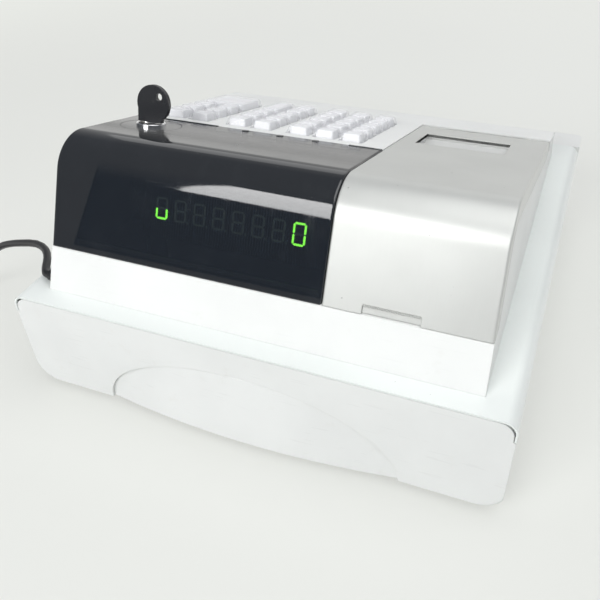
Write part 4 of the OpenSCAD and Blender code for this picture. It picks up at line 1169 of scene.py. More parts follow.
@dataclass
class Cabinet(Assembly):
    """The drawer cabinet: folded sheet shell and its moulded rear panel."""

    width: float = 330.0
    front_y: float = -153.5
    foot_h: float = 6.0
    sheet: float = 1.2
    bend_r: float = 8.0
    flange: float = 24.0
    panel_t: float = 3.0
    panel_gap: float = 0.4
    panel_foot_r: float = 16.0
    panel_top_r: float = 9.0
    shoulder_drop: float = 14.0
    shoulder_r: float = 1.6
    arch_half_w: float = 103.0
    arch_h: float = 53.0
    arch_swell: float = 6.0
    arch_recess: float = 2.0
    arch_gap: float = 0.25
    arch_rim: float = 0.5
    arch_cuts: int = 31
    arch_cut_pitch: float = 6.6

    def build(self) -> None:
        """Build the shell and the panel."""
        self._shell()
        self._panel()

    def _shell(self) -> None:
        """A wrap of painted sheet, bent round and flanged in under the base."""
        half = self.width / 2
        top, rear = self.form.cabinet_top, self.form.rear_y
        shell = Shape.block((-half, self.front_y, self.foot_h), (half, rear, top))
        shell.soften(lambda c, d: along(d.y), self.bend_r, 9)
        inner = half - self.flange
        for side in (-1, 1):
            shell.slice((side * inner, 0, 0), (1, 0, 0), drop=False, fill=False)
        shell.pick(Pick.FACES, lambda c, n: along(n.y) or (n.z < -PARALLEL and abs(c.x) < inner)).drop()
        shell.face_towards((0, 0, top), (0, 0, 1)).thicken(self.sheet)
        low = (-half - 1, rear - self.panel_t - self.panel_gap, 0)
        shell.cut(Shape.block(low, (half + 1, rear + 1, top - self.shoulder_drop + self.panel_gap)))
        shell.done("cabinet_wrap", "cabinet", self.finishes.enamel, "cabinet_paint", ["cabinet_shell"])

    def _plate(self, half: float, high: float, top_r: float, top_steps: int) -> Shape:
        """A flat plate of the panel, with round lower and upper corners.

        Args:
            half: Half its width.
            high: Its upper edge.
            top_r: Radius of its upper corners.
            top_steps: Steps of that radius.

        Returns:
            The plate.
        """
        rear = self.form.rear_y
        plate = Shape.block((-half, rear - self.panel_t, self.foot_h), (half, rear, high))
        middle = (self.foot_h + high) / 2
        plate.soften(lambda c, d: along(d.y) and c.z < middle, self.panel_foot_r, 10)
        return plate.soften(lambda c, d: along(d.y) and c.z > middle, top_r, top_steps)

    def _oval(self, gap: float, near: float, far: float) -> Shape:
        """The arch's oval, less a gap, between two places along Y."""
        low = self.foot_h
        oval = Shape.rod(1, (0, near, low), (0, far, low), 96).all()
        return oval.resize((self.arch_half_w - gap, 1, self.arch_h - gap), (0, self.form.rear_y, low))

    def _on_rim(self, c: Vector) -> bool:
        """Whether a corner lies on the swelling's outline."""
        a, b = self.arch_half_w - self.arch_gap, self.arch_h - self.arch_gap
        return abs((c.x / a) ** 2 + ((c.z - self.foot_h) / b) ** 2 - 1) < 0.004 and c.z > self.foot_h + 0.2

    def _swollen(self, c: Vector) -> Vector:
        """Swell the face of the arch.

        Args:
            c: A corner of the arch.

        Returns:
            The place where the corner goes.
        """
        if c.y > self.form.rear_y - 0.5:
            sag = self.arch_swell + self.arch_recess
            radius = (self.arch_half_w**2 + sag**2) / (2 * sag)
            lean = self.arch_swell / self.arch_h * (c.z - self.foot_h)
            c.y = self.form.rear_y + self.arch_swell - lean - radius + math.sqrt(radius**2 - c.x**2)
            c.y -= self.arch_rim if self._on_rim(c) else 0
        return c

    def _panel(self) -> None:
        """The rear panel with its arched swelling, left bare."""
        rear, low, top = self.form.rear_y, self.foot_h, self.form.cabinet_top
        edge = self.sheet + self.panel_gap
        plate = self._plate(self.width / 2 - edge, top - edge, self.panel_top_r, 8)
        plate.fuse(self._plate(self.width / 2, top - self.shoulder_drop, self.shoulder_r, 4))
        plate.cut(self._oval(0, rear - self.arch_recess, rear + 1))
        swell = self._oval(self.arch_gap, rear - self.panel_t + 0.3, rear)
        swell.slice((0, 0, low), (0, 0, -1))
        swell.faces((0, 1, 0)).inset(0.6)
        for cut in range(self.arch_cuts):
            x = (cut - self.arch_cuts // 2) * self.arch_cut_pitch
            swell.slice((x, 0, 0), (1, 0, 0), drop=False, fill=False)
        plate.join(swell.lean(self._swollen).outwards())
        plate.done("rear_plate", "cabinet", self.finishes.panel, "panel_plastic", ["rear_panel"], 28)


@dataclass
class DisplayHood(Assembly):
    """The smoked hood over the displays, with its far rim and tabs."""

    wall: float = 2.2
    notch_x: float = 26.2
    notch_w: float = 97.6
    notch_d: float = 5.0
    tab_w: float = 4.0
    tab_l: float = 3.5
    tab_pitch: float = 26.0
    tab_rise: float = 0.5
    rim_h: float = 0.5
    rim_w: float = 1.3
    lock: Pair = (112.0, 56.0)
    lock_hole: float = 10.3
    seat_r: float = 20.9
    seat_t: float = 1.2

    def build(self) -> None:
        """Build the hood."""
        form = self.form
        x0 = form.seam_x + form.gap / 2
        hood = form.roof(x0, form.half_w, self.wall, form.hood_far_y + form.gap)
        deck, lock = form.on_deck(form.hood_far_y), form.on_deck(self.lock[1], self.lock[0])
        n0, n1 = self.notch_x - self.notch_w / 2, self.notch_x + self.notch_w / 2
        hood.cut(Shape.block((n0, -5, -12), (n1, self.notch_d, 5)).put(deck))
        hood.cut(Shape.rod(self.lock_hole, (0, 0, -10), (0, 0, 10), 64).put(lock))
        hood.cut(Shape.rod(self.seat_r, (0, 0, -self.seat_t), (0, 0, 4), 96).put(lock))
        end = form.half_w_at(form.deck_z_at(form.hood_far_y)) - 1
        for a, b in ((n1, end), (x0 + 0.1, n0)):
            rim = Shape.block((a, form.gap + 0.1, -1), (b, form.gap + self.rim_w, self.rim_h))
            rim.soften(lambda c, d: c.z > self.rim_h - NEAR and along(d.x), 0.2, 2)
            hood.join(rim.put(deck))
        hood.done("smoked_hood", "cabinet", self.finishes.hood, "hood_plastic", ["display_hood"])
        low = (-self.tab_w / 2, self.notch_d + 0.5 - self.tab_l, -self.wall)
        tab = Shape.block(low, (self.tab_w / 2, self.notch_d + 0.5, self.tab_rise))
        tab.soften(lambda c, d: c.y < low[1] + NEAR and along(d.z), 0.5, 2)
        first, *rest = tab.copies(deck @ at(self.notch_x + i * self.tab_pitch, 0, 0) for i in (-1, 0, 1))
        tab.discard()
        first.join(*rest).done("hood_tabs", "cabinet", self.finishes.bow, "hood_plastic")


@dataclass
class CustomerDisplay(Assembly):
    """The eight figures on the customer's tube."""

    tube_z: float = 141.4
    sink: float = 7.9
    first_x: float = 67.5
    pitch: float = 13.13
    count: int = 8
    width: float = 8.3
    height: float = 13.8
    stroke: float = 1.25
    bar_t: float = 0.25
    bar_gap: float = 0.5
    dot_r: float = 0.7
    dot_off: Pair = (1.4, 0.5)
    lit: dict[int, str] = field(default_factory=lambda: {0: "cde", 7: "abcdef"})

    def _bars(self) -> dict[str, tuple[float, float, bool]]:
        """Lay out a digit's bars.

        Returns:
            Middle of each bar and whether it stands, by its letter.
        """
        w, h = (self.width - self.stroke) / 2, (self.height - self.stroke) / 2
        lying = {letter: (0, y, False) for letter, y in zip("adg", (h, -h, 0))}
        sides = {"b": (w, h), "c": (w, -h), "e": (-w, -h), "f": (-w, h)}
        return lying | {letter: (x, y / 2, True) for letter, (x, y) in sides.items()}

    def _bar(self, length: float) -> Shape:
        """One bar with pointed ends, lying along X."""
        half, s = length / 2 - self.bar_gap / 2, self.stroke
        bar = Shape.block((-half, -s / 2, 0), (half, s / 2, self.bar_t))
        return bar.soften(lambda c, d: along(d.z), s * 0.42, 1)

    def build(self) -> None:
        """Build the lit bars and the dim bars."""
        flat = self._bar(self.width - self.stroke)
        tall = self._bar((self.height - self.stroke) / 2)
        x, y = self.width / 2 + self.dot_off[0], -self.height / 2 + self.dot_off[1]
        dot = Shape.rod(self.dot_r, (x, y, 0), (x, y, self.bar_t), 16)
        dot.faces((0, 0, 1)).inset(0.15)
        made: dict[Glow, list[Shape]] = {glow: [] for glow in Glow}
        for index in range(self.count):
            place = self.form.on_rear(self.tube_z, self.first_x - index * self.pitch) @ at(0, 0, -self.sink)
            for letter, (x, y, stands) in self._bars().items():
                turn = Matrix.Rotation(math.pi / 2 if stands else 0, 4, "Z")
                state = Glow.LIT if letter in self.lit.get(index, "") else Glow.DIM
                made[state] += (tall if stands else flat).copies([place @ at(x, y, 0) @ turn])
            made[Glow.DIM] += dot.copies([place])
        for pattern in (flat, tall, dot):
            pattern.discard()
        for state, finish in ((Glow.LIT, self.finishes.lit), (Glow.DIM, self.finishes.dim)):
            first, *rest = made[state]
            first.join(*rest).done(f"figures_{state.value}", "cabinet", finish, "display_tube")


@dataclass
class ModeLock(Assembly):
    """The mode lock's plate and barrel, and the key that stands in it."""

    place: Pair = (112.0, 56.0)
    plate_r: float = 20.7
    plate_t: float = 1.2
    barrel_r: float = 10.0
    barrel_rise: float = 2.1
    barrel_depth: float = 19.0
    barrel_floor: float = 2.0
    rotor_r: float = 7.6
    rotor_gap: float = 0.06
    bow_r: float = 12.3
    bow_t: float = 3.2
    bow_up: float = 12.6
    bow_shift: float = 2.6
    bow_edge: float = 0.5
    hole_r: float = 2.5
    hole_off: float = 4.8
    shoulder_w: float = 18.4
    shoulder_h: float = 8.5
    blade_w: float = 8.8
    blade_t: float = 2.3
    blade_l: float = 17.0
    slide_gap: float = 0.3

    def build(self) -> None:
        """Build the plate, the barrel and the key."""
        deck, finishes = self.form.on_deck(self.place[1], self.place[0]), self.finishes
        plate = Shape.rod(self.plate_r, (0, 0, -self.plate_t), (0, 0, 0), 96)
        plate.soften(lambda c, d: abs(math.hypot(c.x, c.y) - self.plate_r) < NEAR and c.z > -NEAR, 0.3, 2)
        plate.cut(Shape.rod(self.barrel_r - 0.2, (0, 0, -3), (0, 0, 3), 64)).put(deck)
        plate.done("lock_plate", "cabinet", finishes.hood, "hood_plastic")

        rise, floor = self.barrel_rise, self.barrel_floor - self.barrel_depth
        barrel = Shape.rod(self.barrel_r, (0, 0, -self.barrel_depth), (0, 0, rise), 64)
        barrel.soften(lambda c, d: c.z > rise - NEAR and square(d.z), 0.6)
        barrel.cut(Shape.rod(self.rotor_r + self.rotor_gap, (0, 0, floor), (0, 0, 20), 64)).put(deck)
        barrel.done("lock_barrel", "cabinet", finishes.chrome, "lock_metal", ["mode_lock"])

        foot, half, thick = rise + self.slide_gap, self.shoulder_w / 2, self.bow_t / 2
        x, z = -self.bow_shift, foot + self.bow_up
        bow = Shape.rod(self.bow_r, (x, -thick, z), (x, thick, z), 96)
        bow.pick(Pick.FACES, lambda c, n: along(n.y)).inset(1.6)
        neck = Shape.block((-half, -thick, foot), (half, thick, foot + self.shoulder_h))
        bow.fuse(neck.soften(lambda c, d: along(d.y) and c.z < foot + 1, 0.5))
        x, z = x - self.hole_off, z + self.hole_off
        bow.cut(Shape.rod(self.hole_r, (x, -5, z), (x, 5, z), 40))
        sharp = {"limit_method": "ANGLE", "angle_limit": math.radians(50)}
        bow.modifier("BEVEL", width=self.bow_edge, segments=3, **sharp).put(deck)
        bow.done("key_bow", "mode_key", finishes.bow, "key_black", ["mode_key"])

        tip, half, thick = foot - self.blade_l, self.blade_w / 2, self.blade_t / 2
        blade = Shape.block((-half, -thick, tip), (half, thick, foot + 1))
        blade.pick(Pick.FACES, lambda c, n: along(n.y)).inset(1.6, -0.35)
        blade.soften(lambda c, d: c.z < tip + NEAR and along(d.y), 2.0).put(deck)
        blade.done("key_blade", "mode_key", finishes.chrome, "lock_metal")


@dataclass
class KeyField(Assembly):
    """The keycaps: clear shells over white cores, one size modelled once and copied."""

    pitch: float = 19.5
    base: float = 17.0
    top: float = 13.4
    rise: float = 6.0
    shoulder: float = 0.3
    guide: float = 2.9
    core_inset: float = 4.4
    core_top_inset: float = 1.8
    hem: float = 1.5
    stem_r: float = 2.5
    stem_foot: float = -9.4
    first_row: float = 18.6
    pad_x: float = 0.2
    mid_x: float = 57.3
    outer_x: float = 107.7

    def layout(self) -> list[tuple[str, float, float, int, int]]:
        """Lay out the keys.

        Returns:
            Each key's name, place along X, row, and width and length in pitches.
        """
        step, half, low_row = self.pitch, self.pitch / 2, 3.5
        pad, mid, outer = self.pad_x, self.mid_x, self.outer_x
        keys = []
        for row in range(5):
            keys += [(f"key_pad_{row * 3 + i}", pad + (i - 2) * step, row, 1, 1) for i in (1, 2, 3)]
        keys += [(f"key_entry_{row + 1}", mid - half, row, 1, 1) for row in range(5)]
        keys += [(f"key_entry_{row + 6}", mid + half, row, 1, 1) for row in range(3)]
        keys += [("key_entry_9", mid + half, low_row, 1, 2)]
        for row in range(3):
            keys += [(f"key_clerk_{row * 2 + i}", outer + (2 * i - 3) * half, row, 1, 1) for i in (1, 2)]
        return keys + [("key_total", outer, low_row, 2, 2)]

    def _tapered(self, foot: Pair, top: Pair, low: float, high: float, corner: float, crown: float) -> Shape:
        """A block whose upper part leans in, with rounded corners.

        Args:
            foot: Width and length at the foot.
            top: Width and length at the top.
            low: Lower end.
            high: Top.
            corner: Rounding of the standing corners.
            crown: Rounding of the top edges.

        Returns:
            The shape.
        """
        w, l = foot
        cap = Shape.block((-w / 2, -l / 2, low), (w / 2, l / 2, self.shoulder))
        cap.faces((0, 0, 1)).extrude((0, 0, high - self.shoulder))
        cap.resize((top[0] / w, top[1] / l, 1), (0, 0, high))
        cap.soften(lambda c, d: abs(d.z) > 0.5, corner, 4)
        return cap.soften(lambda c, d: c.z > high - 0.01, crown).outwards()

    def _seat(self, w: float, l: float, stems: list[Pair]) -> Shape:
        """The flange under a key, with its stems.

        Args:
            w: The flange's width.
            l: The flange's length.
            stems: Where each stem stands.

        Returns:
            The shape.
        """
        flange = Shape.block((-w / 2, -l / 2, -self.guide - 1.4), (w / 2, l / 2, -self.guide - 0.05))
        flange.soften(lambda c, d: along(d.z), 1.0, 2)
        for x, y in stems:
            stem = Shape.rod(self.stem_r, (x, y, self.stem_foot), (x, y, -self.guide - 1), 24)
            stem.faces((0, 0, -1)).inset(0.5)
            flange.join(stem)
        return flange

    def _pattern(self, across: int, along_y: int) -> tuple[Shape, Shape]:
        """The clear shell and the core of one size of key.

        Args:
            across: Its width in pitches.
            along_y: Its length in pitches.

        Returns:
            The shell and the core.
        """
        extra = ((across - 1) * self.pitch, (along_y - 1) * self.pitch)
        foot, top, inner, head, hem = (
            (size + extra[0], size + extra[1])
            for size in (
                self.base,
                self.top,
                self.base - self.core_inset,
                self.top - self.core_top_inset,
                self.base + self.hem,
            )
        )
        shell = self._tapered(foot, top, -self.guide, self.rise, 1.6, 0.9)
        core = self._tapered(inner, head, -self.guide + 0.1, self.rise - 1.3, 1.2, 0.6)
        xs, ys = ((-e / 2, e / 2) if e else (0,) for e in extra)
        return shell, core.join(self._seat(*hem, [(x, y) for x in xs for y in ys]))

    def build(self) -> None:
        """Model each size once and copy it to every place."""
        patterns: dict[tuple[int, int], tuple[Shape, Shape]] = {}
        for name, x, row, *size in self.layout():
            if tuple(size) not in patterns:
                patterns[tuple(size)] = self._pattern(*size)
            shell, core = patterns[tuple(size)]
            place = self.form.on_deck(self.form.hood_far_y) @ at(x, -self.first_row - row * self.pitch, 0)
            shell.copies([place])[0].done(f"{name}_cap", name, self.finishes.clear, "key_clear", [name], 50)
            core.copies([place])[0].done(f"{name}_core", name, self.finishes.core, "key_clear", (), 50)
        for pattern in patterns.values():
            for shape in pattern:
                shape.discard()


@dataclass
class PrinterCover(Assembly):
    """The silver printer cover with its nose, paper recess, tear teeth and finger notch."""

    wall: float = 2.4
    hinge: Pair = (-77.5, 109.913)
    nose_r: float = 8.0
    hinge_r: float = 2.0
    post_x: float = 33.0
    post_t: float = 6.0
    cheek_t: float = 3.0
    paper_x: float = -88.0
    slot_w: float = 61.0
    slot_l: float = 41.0
    slot_y: float = -9.5
    slot_depth: float = 11.0
    slit_w: float = 5.8
    slit_l: float = 4.0
    liner_t: float = 1.6
    tooth_pitch: float = 2.0
    tooth_d: float = 1.2
    grip_x: float = -86.5
    grip_w: float = 34.0
    grip_h: float = 6.0
    rib_pitch: float = 1.0
    slide_gap: float = 0.3

    def _nose(self, x0: float, x1: float, last: float) -> Shape:
        """A rounded strip round the hinge.

        Args:
            x0: Low end along X.
            x1: High end along X.
            last: Angle at which it ends, in degrees.

        Returns:
            The strip.
        """
        first = 90 + self.form.deck_slope
        angle = math.radians(first)
        centre = Vector((0, *self.hinge))
        reach = self.nose_r - self.wall / 2
        middle = centre + Vector(((x0 + x1) / 2, reach * math.cos(angle), reach * math.sin(angle)))
        strip = Shape.plane(x1 - x0, self.wall, middle, angle)
        return strip.all().spin(centre, last - first, max(4, int((last - first) / 6))).outwards()

    def _pocket(self) -> Shape:
        """The paper recess's hollow on the deck: a sloping floor down to the slit at the tear edge.

        Returns:
            The hollow as a solid.
        """
        deep, below = self.slot_depth, 0.5 - self.slot_depth / 2
        under = deep * math.tan(math.radians(self.form.deck_slope))
        x0, x1 = self.paper_x - self.slot_w / 2, self.paper_x + self.slot_w / 2
        tool = Shape.block((x0, -self.slot_l, 0), (x1, 0, 2))
        tool.faces((0, 0, -1)).extrude((0, 0, -deep))
        tool.pick(Pick.CORNERS, lambda c, n: c.z < below and c.y < -self.slot_l / 2)
        tool.shift((0, self.slot_l - self.slit_w - under, 0))
        tool.pick(Pick.CORNERS, lambda c, n: c.z < below and c.y > -1).shift((0, -under, 0))
        tool.pick(Pick.FACES, lambda c, n: n.z < -PARALLEL and c.z < below).extrude((0, -1.2, -self.slit_l))
        return tool.outwards()

    def _liner(self) -> Shape:
        """The recess's walls: the hollow's own faces, open to the deck and at the slit.

        Returns:
            The walls, with their thickness.
        """
        liner = self._pocket().slice((0, 0, -0.5), (0, 0, 1), fill=False)
        low = 1 - self.slot_depth - self.slit_l
        liner.pick(Pick.FACES, lambda c, n: n.z < -PARALLEL and c.z < low).drop()
        return liner.thicken(self.liner_t, 1.0).outwards().put(self.form.on_deck(self.slot_y))

    def _row(self, pattern: Shape, place: Matrix, pitch: float, count: int) -> list[Shape]:
        """Copies of a pattern side by side, after which it is discarded.

        Args:
            pattern: What is copied.
            place: Middle of the row.
            pitch: Distance from one to the next.
            count: How many.

        Returns:
            The copies.
        """
        made = pattern.copies(place @ at((i - (count - 1) / 2) * pitch, 0, 0) for i in range(count))
        pattern.discard()
        return made

    def _grip(self) -> list[Shape]:
        """The finger notch's ribbed lip along its upper edge.

        Returns:
            The lip and its ribs.
        """
        top, place = self.form.gap + self.grip_h, self.form.on_rear(self.form.band_z, self.grip_x)
        half = self.grip_w / 2 + 0.2
        lip = Shape.block((-half, top - 1.5, -1.6), (half, top + 0.3, -0.45))
        lip.soften(lambda c, d: along(d.x) and c.z > -0.6 and c.y < top - 1, 0.3, 2)
        rib = Shape.block((-0.28, top - 1.5, -0.8), (0.28, top + 0.2, -0.1))
        rib.soften(lambda c, d: along(d.y) and c.z > -0.2, 0.15, 1)
        return [lip.put(place), *self._row(rib, place, self.rib_pitch, int(self.grip_w))]

    def _hinges(self, middle: float, reach: float) -> list[Shape]:
        """The two pins and the cheeks that hold them.

        Args:
            middle: Middle between the posts along X.
            reach: Half the opening for a post.

        Returns:
            The pins and the cheeks.
        """
        parts, half = [], self.cheek_t / 2
        for side in (-1, 1):
            x = middle + side * self.post_x
            pin = Shape.rod(self.hinge_r, (x - reach - 1, *self.hinge), (x + reach + 1, *self.hinge), 24)
            parts.append(pin.pick(Pick.FACES, lambda c, n: along(n.x)).inset(0.4))
            for end in (-1, 1):
                face = x + end * (reach + half)
                cheek = Shape.rod(self.nose_r - 1, (face - half, *self.hinge), (face + half, *self.hinge), 24)
                parts.append(cheek.soften(lambda c, d: square(d.x), 0.3, 2))
        return parts

    def build(self) -> None:
        """Build the cover, its recess and its teeth."""
        form, silver, recess = self.form, self.finishes.silver, self.finishes.recess
        x0, x1 = -form.half_w_at(self.hinge[1]) + 0.3, form.seam_x - form.gap / 2
        middle = (form.seam_x - form.half_w) / 2
        reach = self.post_t / 2 + self.slide_gap
        cover = form.roof(-form.half_w, x1, self.wall, self.hinge[0])
        cover.cut(self._pocket().put(form.on_deck(self.slot_y)))
        notch = Shape.block((-self.grip_w / 2, -2, -1.2), (self.grip_w / 2, form.gap + self.grip_h, 2))
        notch.soften(lambda c, d: c.y > 3 and along(d.z), 0.8)
        cover.cut(notch.put(form.on_rear(form.band_z, self.grip_x)))
        # The recess walls take the lightened stand-in for the silver, painted light against the recess's
        # shade.
        self._liner().done("recess_liner", "printer_cover", recess, "cover_silver", (), 30)
        inner = self.post_x - reach
        noses = ((x0, x0 + 4, 124.0), (x0 + 3.2, x1, 150.0), (middle - inner, middle + inner, 190.0))
        cover.join(*self._grip(), *(self._nose(*nose) for nose in noses), *self._hinges(middle, reach))
        cover.done("silver_cover", "printer_cover", silver, "cover_silver", ["printer_cover"], 30)
        half, edge = self.tooth_pitch / 2, -0.02
        tooth = Shape.block((-half, -self.tooth_d, -1.2), (half, 0.6, edge))
        tooth.faces((0, -1, 0)).resize((0.12, 1, 0.5), (0, -self.tooth_d, edge))
        row = form.on_deck(self.slot_y) @ at(self.paper_x, 0, 0)
        first, *rest = self._row(tooth, row, self.tooth_pitch, int(self.slot_w // self.tooth_pitch) - 1)
        # The tear teeth also wear the lightened stand-in for the silver, painted light.
        first.join(*rest).done("tear_teeth", "printer_cover", recess, "cover_silver", (), 20)


@dataclass
class PowerLead(Assembly):
    """The mains lead from its outlet down to its coil and plug."""

    radius: float = 2.75
    sleeve_r: float = 4.0
    sleeve_step: float = 0.9
    outlet: Pair = (149.5, 86.2)
    coil_c: Pair = (314.0, 145.0)
    coil_r: float = 45.0
    pitch: float = 6.1
    layers: float = 3.75
    turn_points: int = 24
    lift: float = 0.05
    tail: float = 26.0
    plug_l: float = 34.0
    plug_w: float = 35.0
    grip_share: float = 0.4
    pin_r: float = 2.4
    pin_pitch: float = 19.0
    pin_l: float = 19.0
    route: tuple[Triple, ...] = (
        (149.318, 149.5, 86.2), (153, 148.5, 86), (158, 142.5, 85.5), (165, 132.5, 84.5),
        (175, 122.5, 83), (191, 114, 79), (213, 108, 71), (232, 103.5, 63), (246, 101, 55.5), (259, 100, 46),
        (271, 100, 34), (281, 100, 22), (290, 100, 11.5), (298, 100, 5), (304, 100, 3), (308.5, 100, 2.8),
    )

    @staticmethod
    def _between(a: Vector, b: Vector, c: Vector, d: Vector, t: float) -> Vector:
        """A point between the second and the third of four points on their smooth curve."""
        square_part, cube_part = 2 * a - 5 * b + 4 * c - d, 3 * b - a - 3 * c + d
        return 0.5 * (2 * b + (c - a) * t + square_part * t**2 + cube_part * t**3)

    def _coil(self, turn: float) -> Vector:
        """The coil's centre line: inwards on the table, then outwards on top.

        Args:
            turn: Turns from its start.

        Returns:
            The point.
        """
        r = self.coil_r - self.pitch * min(turn, 2 * self.layers - turn)
        climb = min(max(turn - self.layers + 0.25, 0) / 0.5, 1)
        a = math.radians(360 * turn - 90)
        height = self.radius + self.lift + climb * self.pitch
        return Vector((self.coil_c[0] + r * math.cos(a), self.coil_c[1] + r * math.sin(a), height))

    def line(self) -> list[Vector]:
        """The whole centre line, in millimetres.

        Returns:
            Its points, from the outlet to the plug.
        """
        way = [Vector(p) for p in (self.route[0], *self.route, self.route[-1])]
        points = [self._between(*way[i : i + 4], t) for i in range(len(self.route) - 1) for t in (0, 0.5)]
        turns = int(self.turn_points * 2 * self.layers)
        points += [way[-1], *(self._coil(i / self.turn_points) for i in range(turns + 1))]
        return [*points, points[-1] - Vector((self.tail, 0, 0))]

    def build(self) -> None:
        line = self.line()
        curve = bpy.data.curves.new("lead_cord", "CURVE")
        curve.dimensions = "3D"
        curve.bevel_depth = self.radius * MM
        curve.bevel_resolution = 4
        curve.use_fill_caps = True
        spline = curve.splines.new("POLY")
        spline.points.add(len(line) - 1)
        for point, place in zip(spline.points, line):
            point.co = (*(place * MM), 1.0)
        curve.materials.append(self.finishes.cord)
        cord = bpy.data.objects.new("lead_cord", curve)
        bpy.context.scene.collection.objects.link(cord)
        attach(cord, "cabinet")
        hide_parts("power_cord", "cord_coil")
        self._plug(line[-1])
        self._relief()

    def _relief(self) -> None:
        """A short tapered sleeve at the outlet, with the rings on both sides of the wall."""
        wall, wide = self.form.half_w_at(self.outlet[1]), self.sleeve_r + 0.8
        sleeve = Shape.rod(self.sleeve_r, (wall - 5.6, *self.outlet), (wall + 1, *self.outlet), 32)
        sleeve.faces((1, 0, 0))
        for _ in range(4):
            sleeve.extrude((self.sleeve_step, 0, 0)).resize((1, 0.975, 0.975), (wall, *self.outlet))
        sleeve.soften(lambda c, d: square(d.x) and c.x > wall + 4.5, 0.4, 2)
        ring = Shape.rod(wide, (wall + 0.2, *self.outlet), (wall + 1.6, *self.outlet), 32)
        ring.soften(lambda c, d: square(d.x) and c.x > wall + 1.5, 0.4, 2)
        lock = Shape.rod(wide, (wall - 5.2, *self.outlet), (wall - 3.0, *self.outlet), 32)
        sleeve.join(ring, lock.soften(lambda c, d: square(d.x), 0.3, 2))
        sleeve.done("lead_sleeve", "cabinet", self.finishes.cord, "cord_rubber", ["strain_relief"], 40)

    def _plug(self, end: Vector) -> list[bpy.types.Object]:
        """The moulded two-pin plug at the cord's end, pointing along -X.

        Args:
            end: The cord's end.

        Returns:
            The shell and the pins.
        """
        half, wide = self.radius + self.lift + self.pitch - 0.1, self.plug_w / 2
        throat, grip = self.radius + 1, self.plug_l * self.grip_share
        place = at(*end) @ Matrix.Rotation(-math.pi / 2, 4, "Y")
        neck = Shape.rod(throat, (0, 0, 0), (0, 0, grip + 1), 40, half - 2)
        for z in (2.5, 5.1, 7.7, 10.3):
            neck.cut(Shape.ring(throat + (half - 2 - throat) * z / grip, 0.45, z))
        body = Shape.block((-half, -wide, grip), (half, wide, self.plug_l))
        body.soften(lambda c, d: along(d.z), 4.0, 6)
        body.faces((0, 0, -1)).inset(2.5).resize((1, 0.82, 1), (0, 0, grip))
        body.soften(lambda c, d: c.z > self.plug_l - 0.01, 0.8)
        shell = neck.join(body).put(place)
        tip, pins = self.plug_l + self.pin_l, []
        for y in (-self.pin_pitch / 2, self.pin_pitch / 2):
            pin = Shape.rod(self.pin_r, (0, y, self.plug_l - 1), (0, y, tip), 24)
            pins.append(pin.soften(lambda c, d: c.z > tip - 9 and square(d.z), 1.2, 4))
        metal = pins[0].join(pins[1]).put(place)
        return [
            shell.done("plug_shell", "cabinet", self.finishes.cord, "cord_rubber", ["power_plug"], 40),
            metal.done("plug_pins", "cabinet", self.finishes.chrome, "lock_metal", (), 40),
        ]


@dataclass
class CarriedNodes:
    """CAD nodes whose shape is right as it is, and the finishes that they get."""

    finishes: Finishes

    def dress(self, nodes: dict[str, bpy.types.Object]) -> None:
        """Give every carried node its finish.

        Args:
            nodes: The frame's nodes by name.
        """
        f = self.finishes
        table = {
            "upper_case": f.case, "cabinet_shell": f.enamel, "rear_panel": f.panel, "base_plate": f.steel,
            "rubber_feet": f.foot, "drawer_tray": f.steel, "drawer_front": f.drawer, "coin_tray": f.tray,
            "bill_clip_1": f.steel, "bill_clip_2": f.steel, "bill_clip_3": f.steel, "drawer_latch": f.steel,
            "latch_solenoid": f.copper, "display_hood": f.hood, "customer_display": f.tube,
            "operator_display": f.tube, "mode_lock": f.chrome, "mode_rotor": f.rotor, "mode_key": f.bow,
            "main_board": f.board, "power_transformer": f.iron, "printer_frame": f.frame,
            "platen_roller": f.platen, "paper_roll": f.paper, "printer_cover": f.silver,
            "strain_relief": f.cord, "power_cord": f.cord, "cord_coil": f.cord, "power_plug": f.cord,
        }
        for name, node in nodes.items():
            finish = table.get(name, f.core)
            for slot in node.material_slots:
                slot.material = finish
            LOG.info("node %s: %s", name, finish.name)


# ---- studio


@dataclass(frozen=True)
class Lamp:
    """A rectangular lamp: its place, aim and size in metres, and its power in watts."""

    name: str
    place: Triple
    aim: Triple
    width: float
    height: float
    power: float

    def hang(self) -> None:
        """Hang it."""
        data = bpy.data.lights.new(self.name, "AREA")
        data.shape = "RECTANGLE"
        data.size, data.size_y, data.energy = self.width, self.height, self.power
        lamp = bpy.data.objects.new(self.name, data)
        bpy.context.scene.collection.objects.link(lamp)
        turn = (Vector(self.aim) - Vector(self.place)).to_track_quat("-Z", "Y")
        lamp.matrix_world = at(*self.place) @ turn.to_matrix().to_4x4()


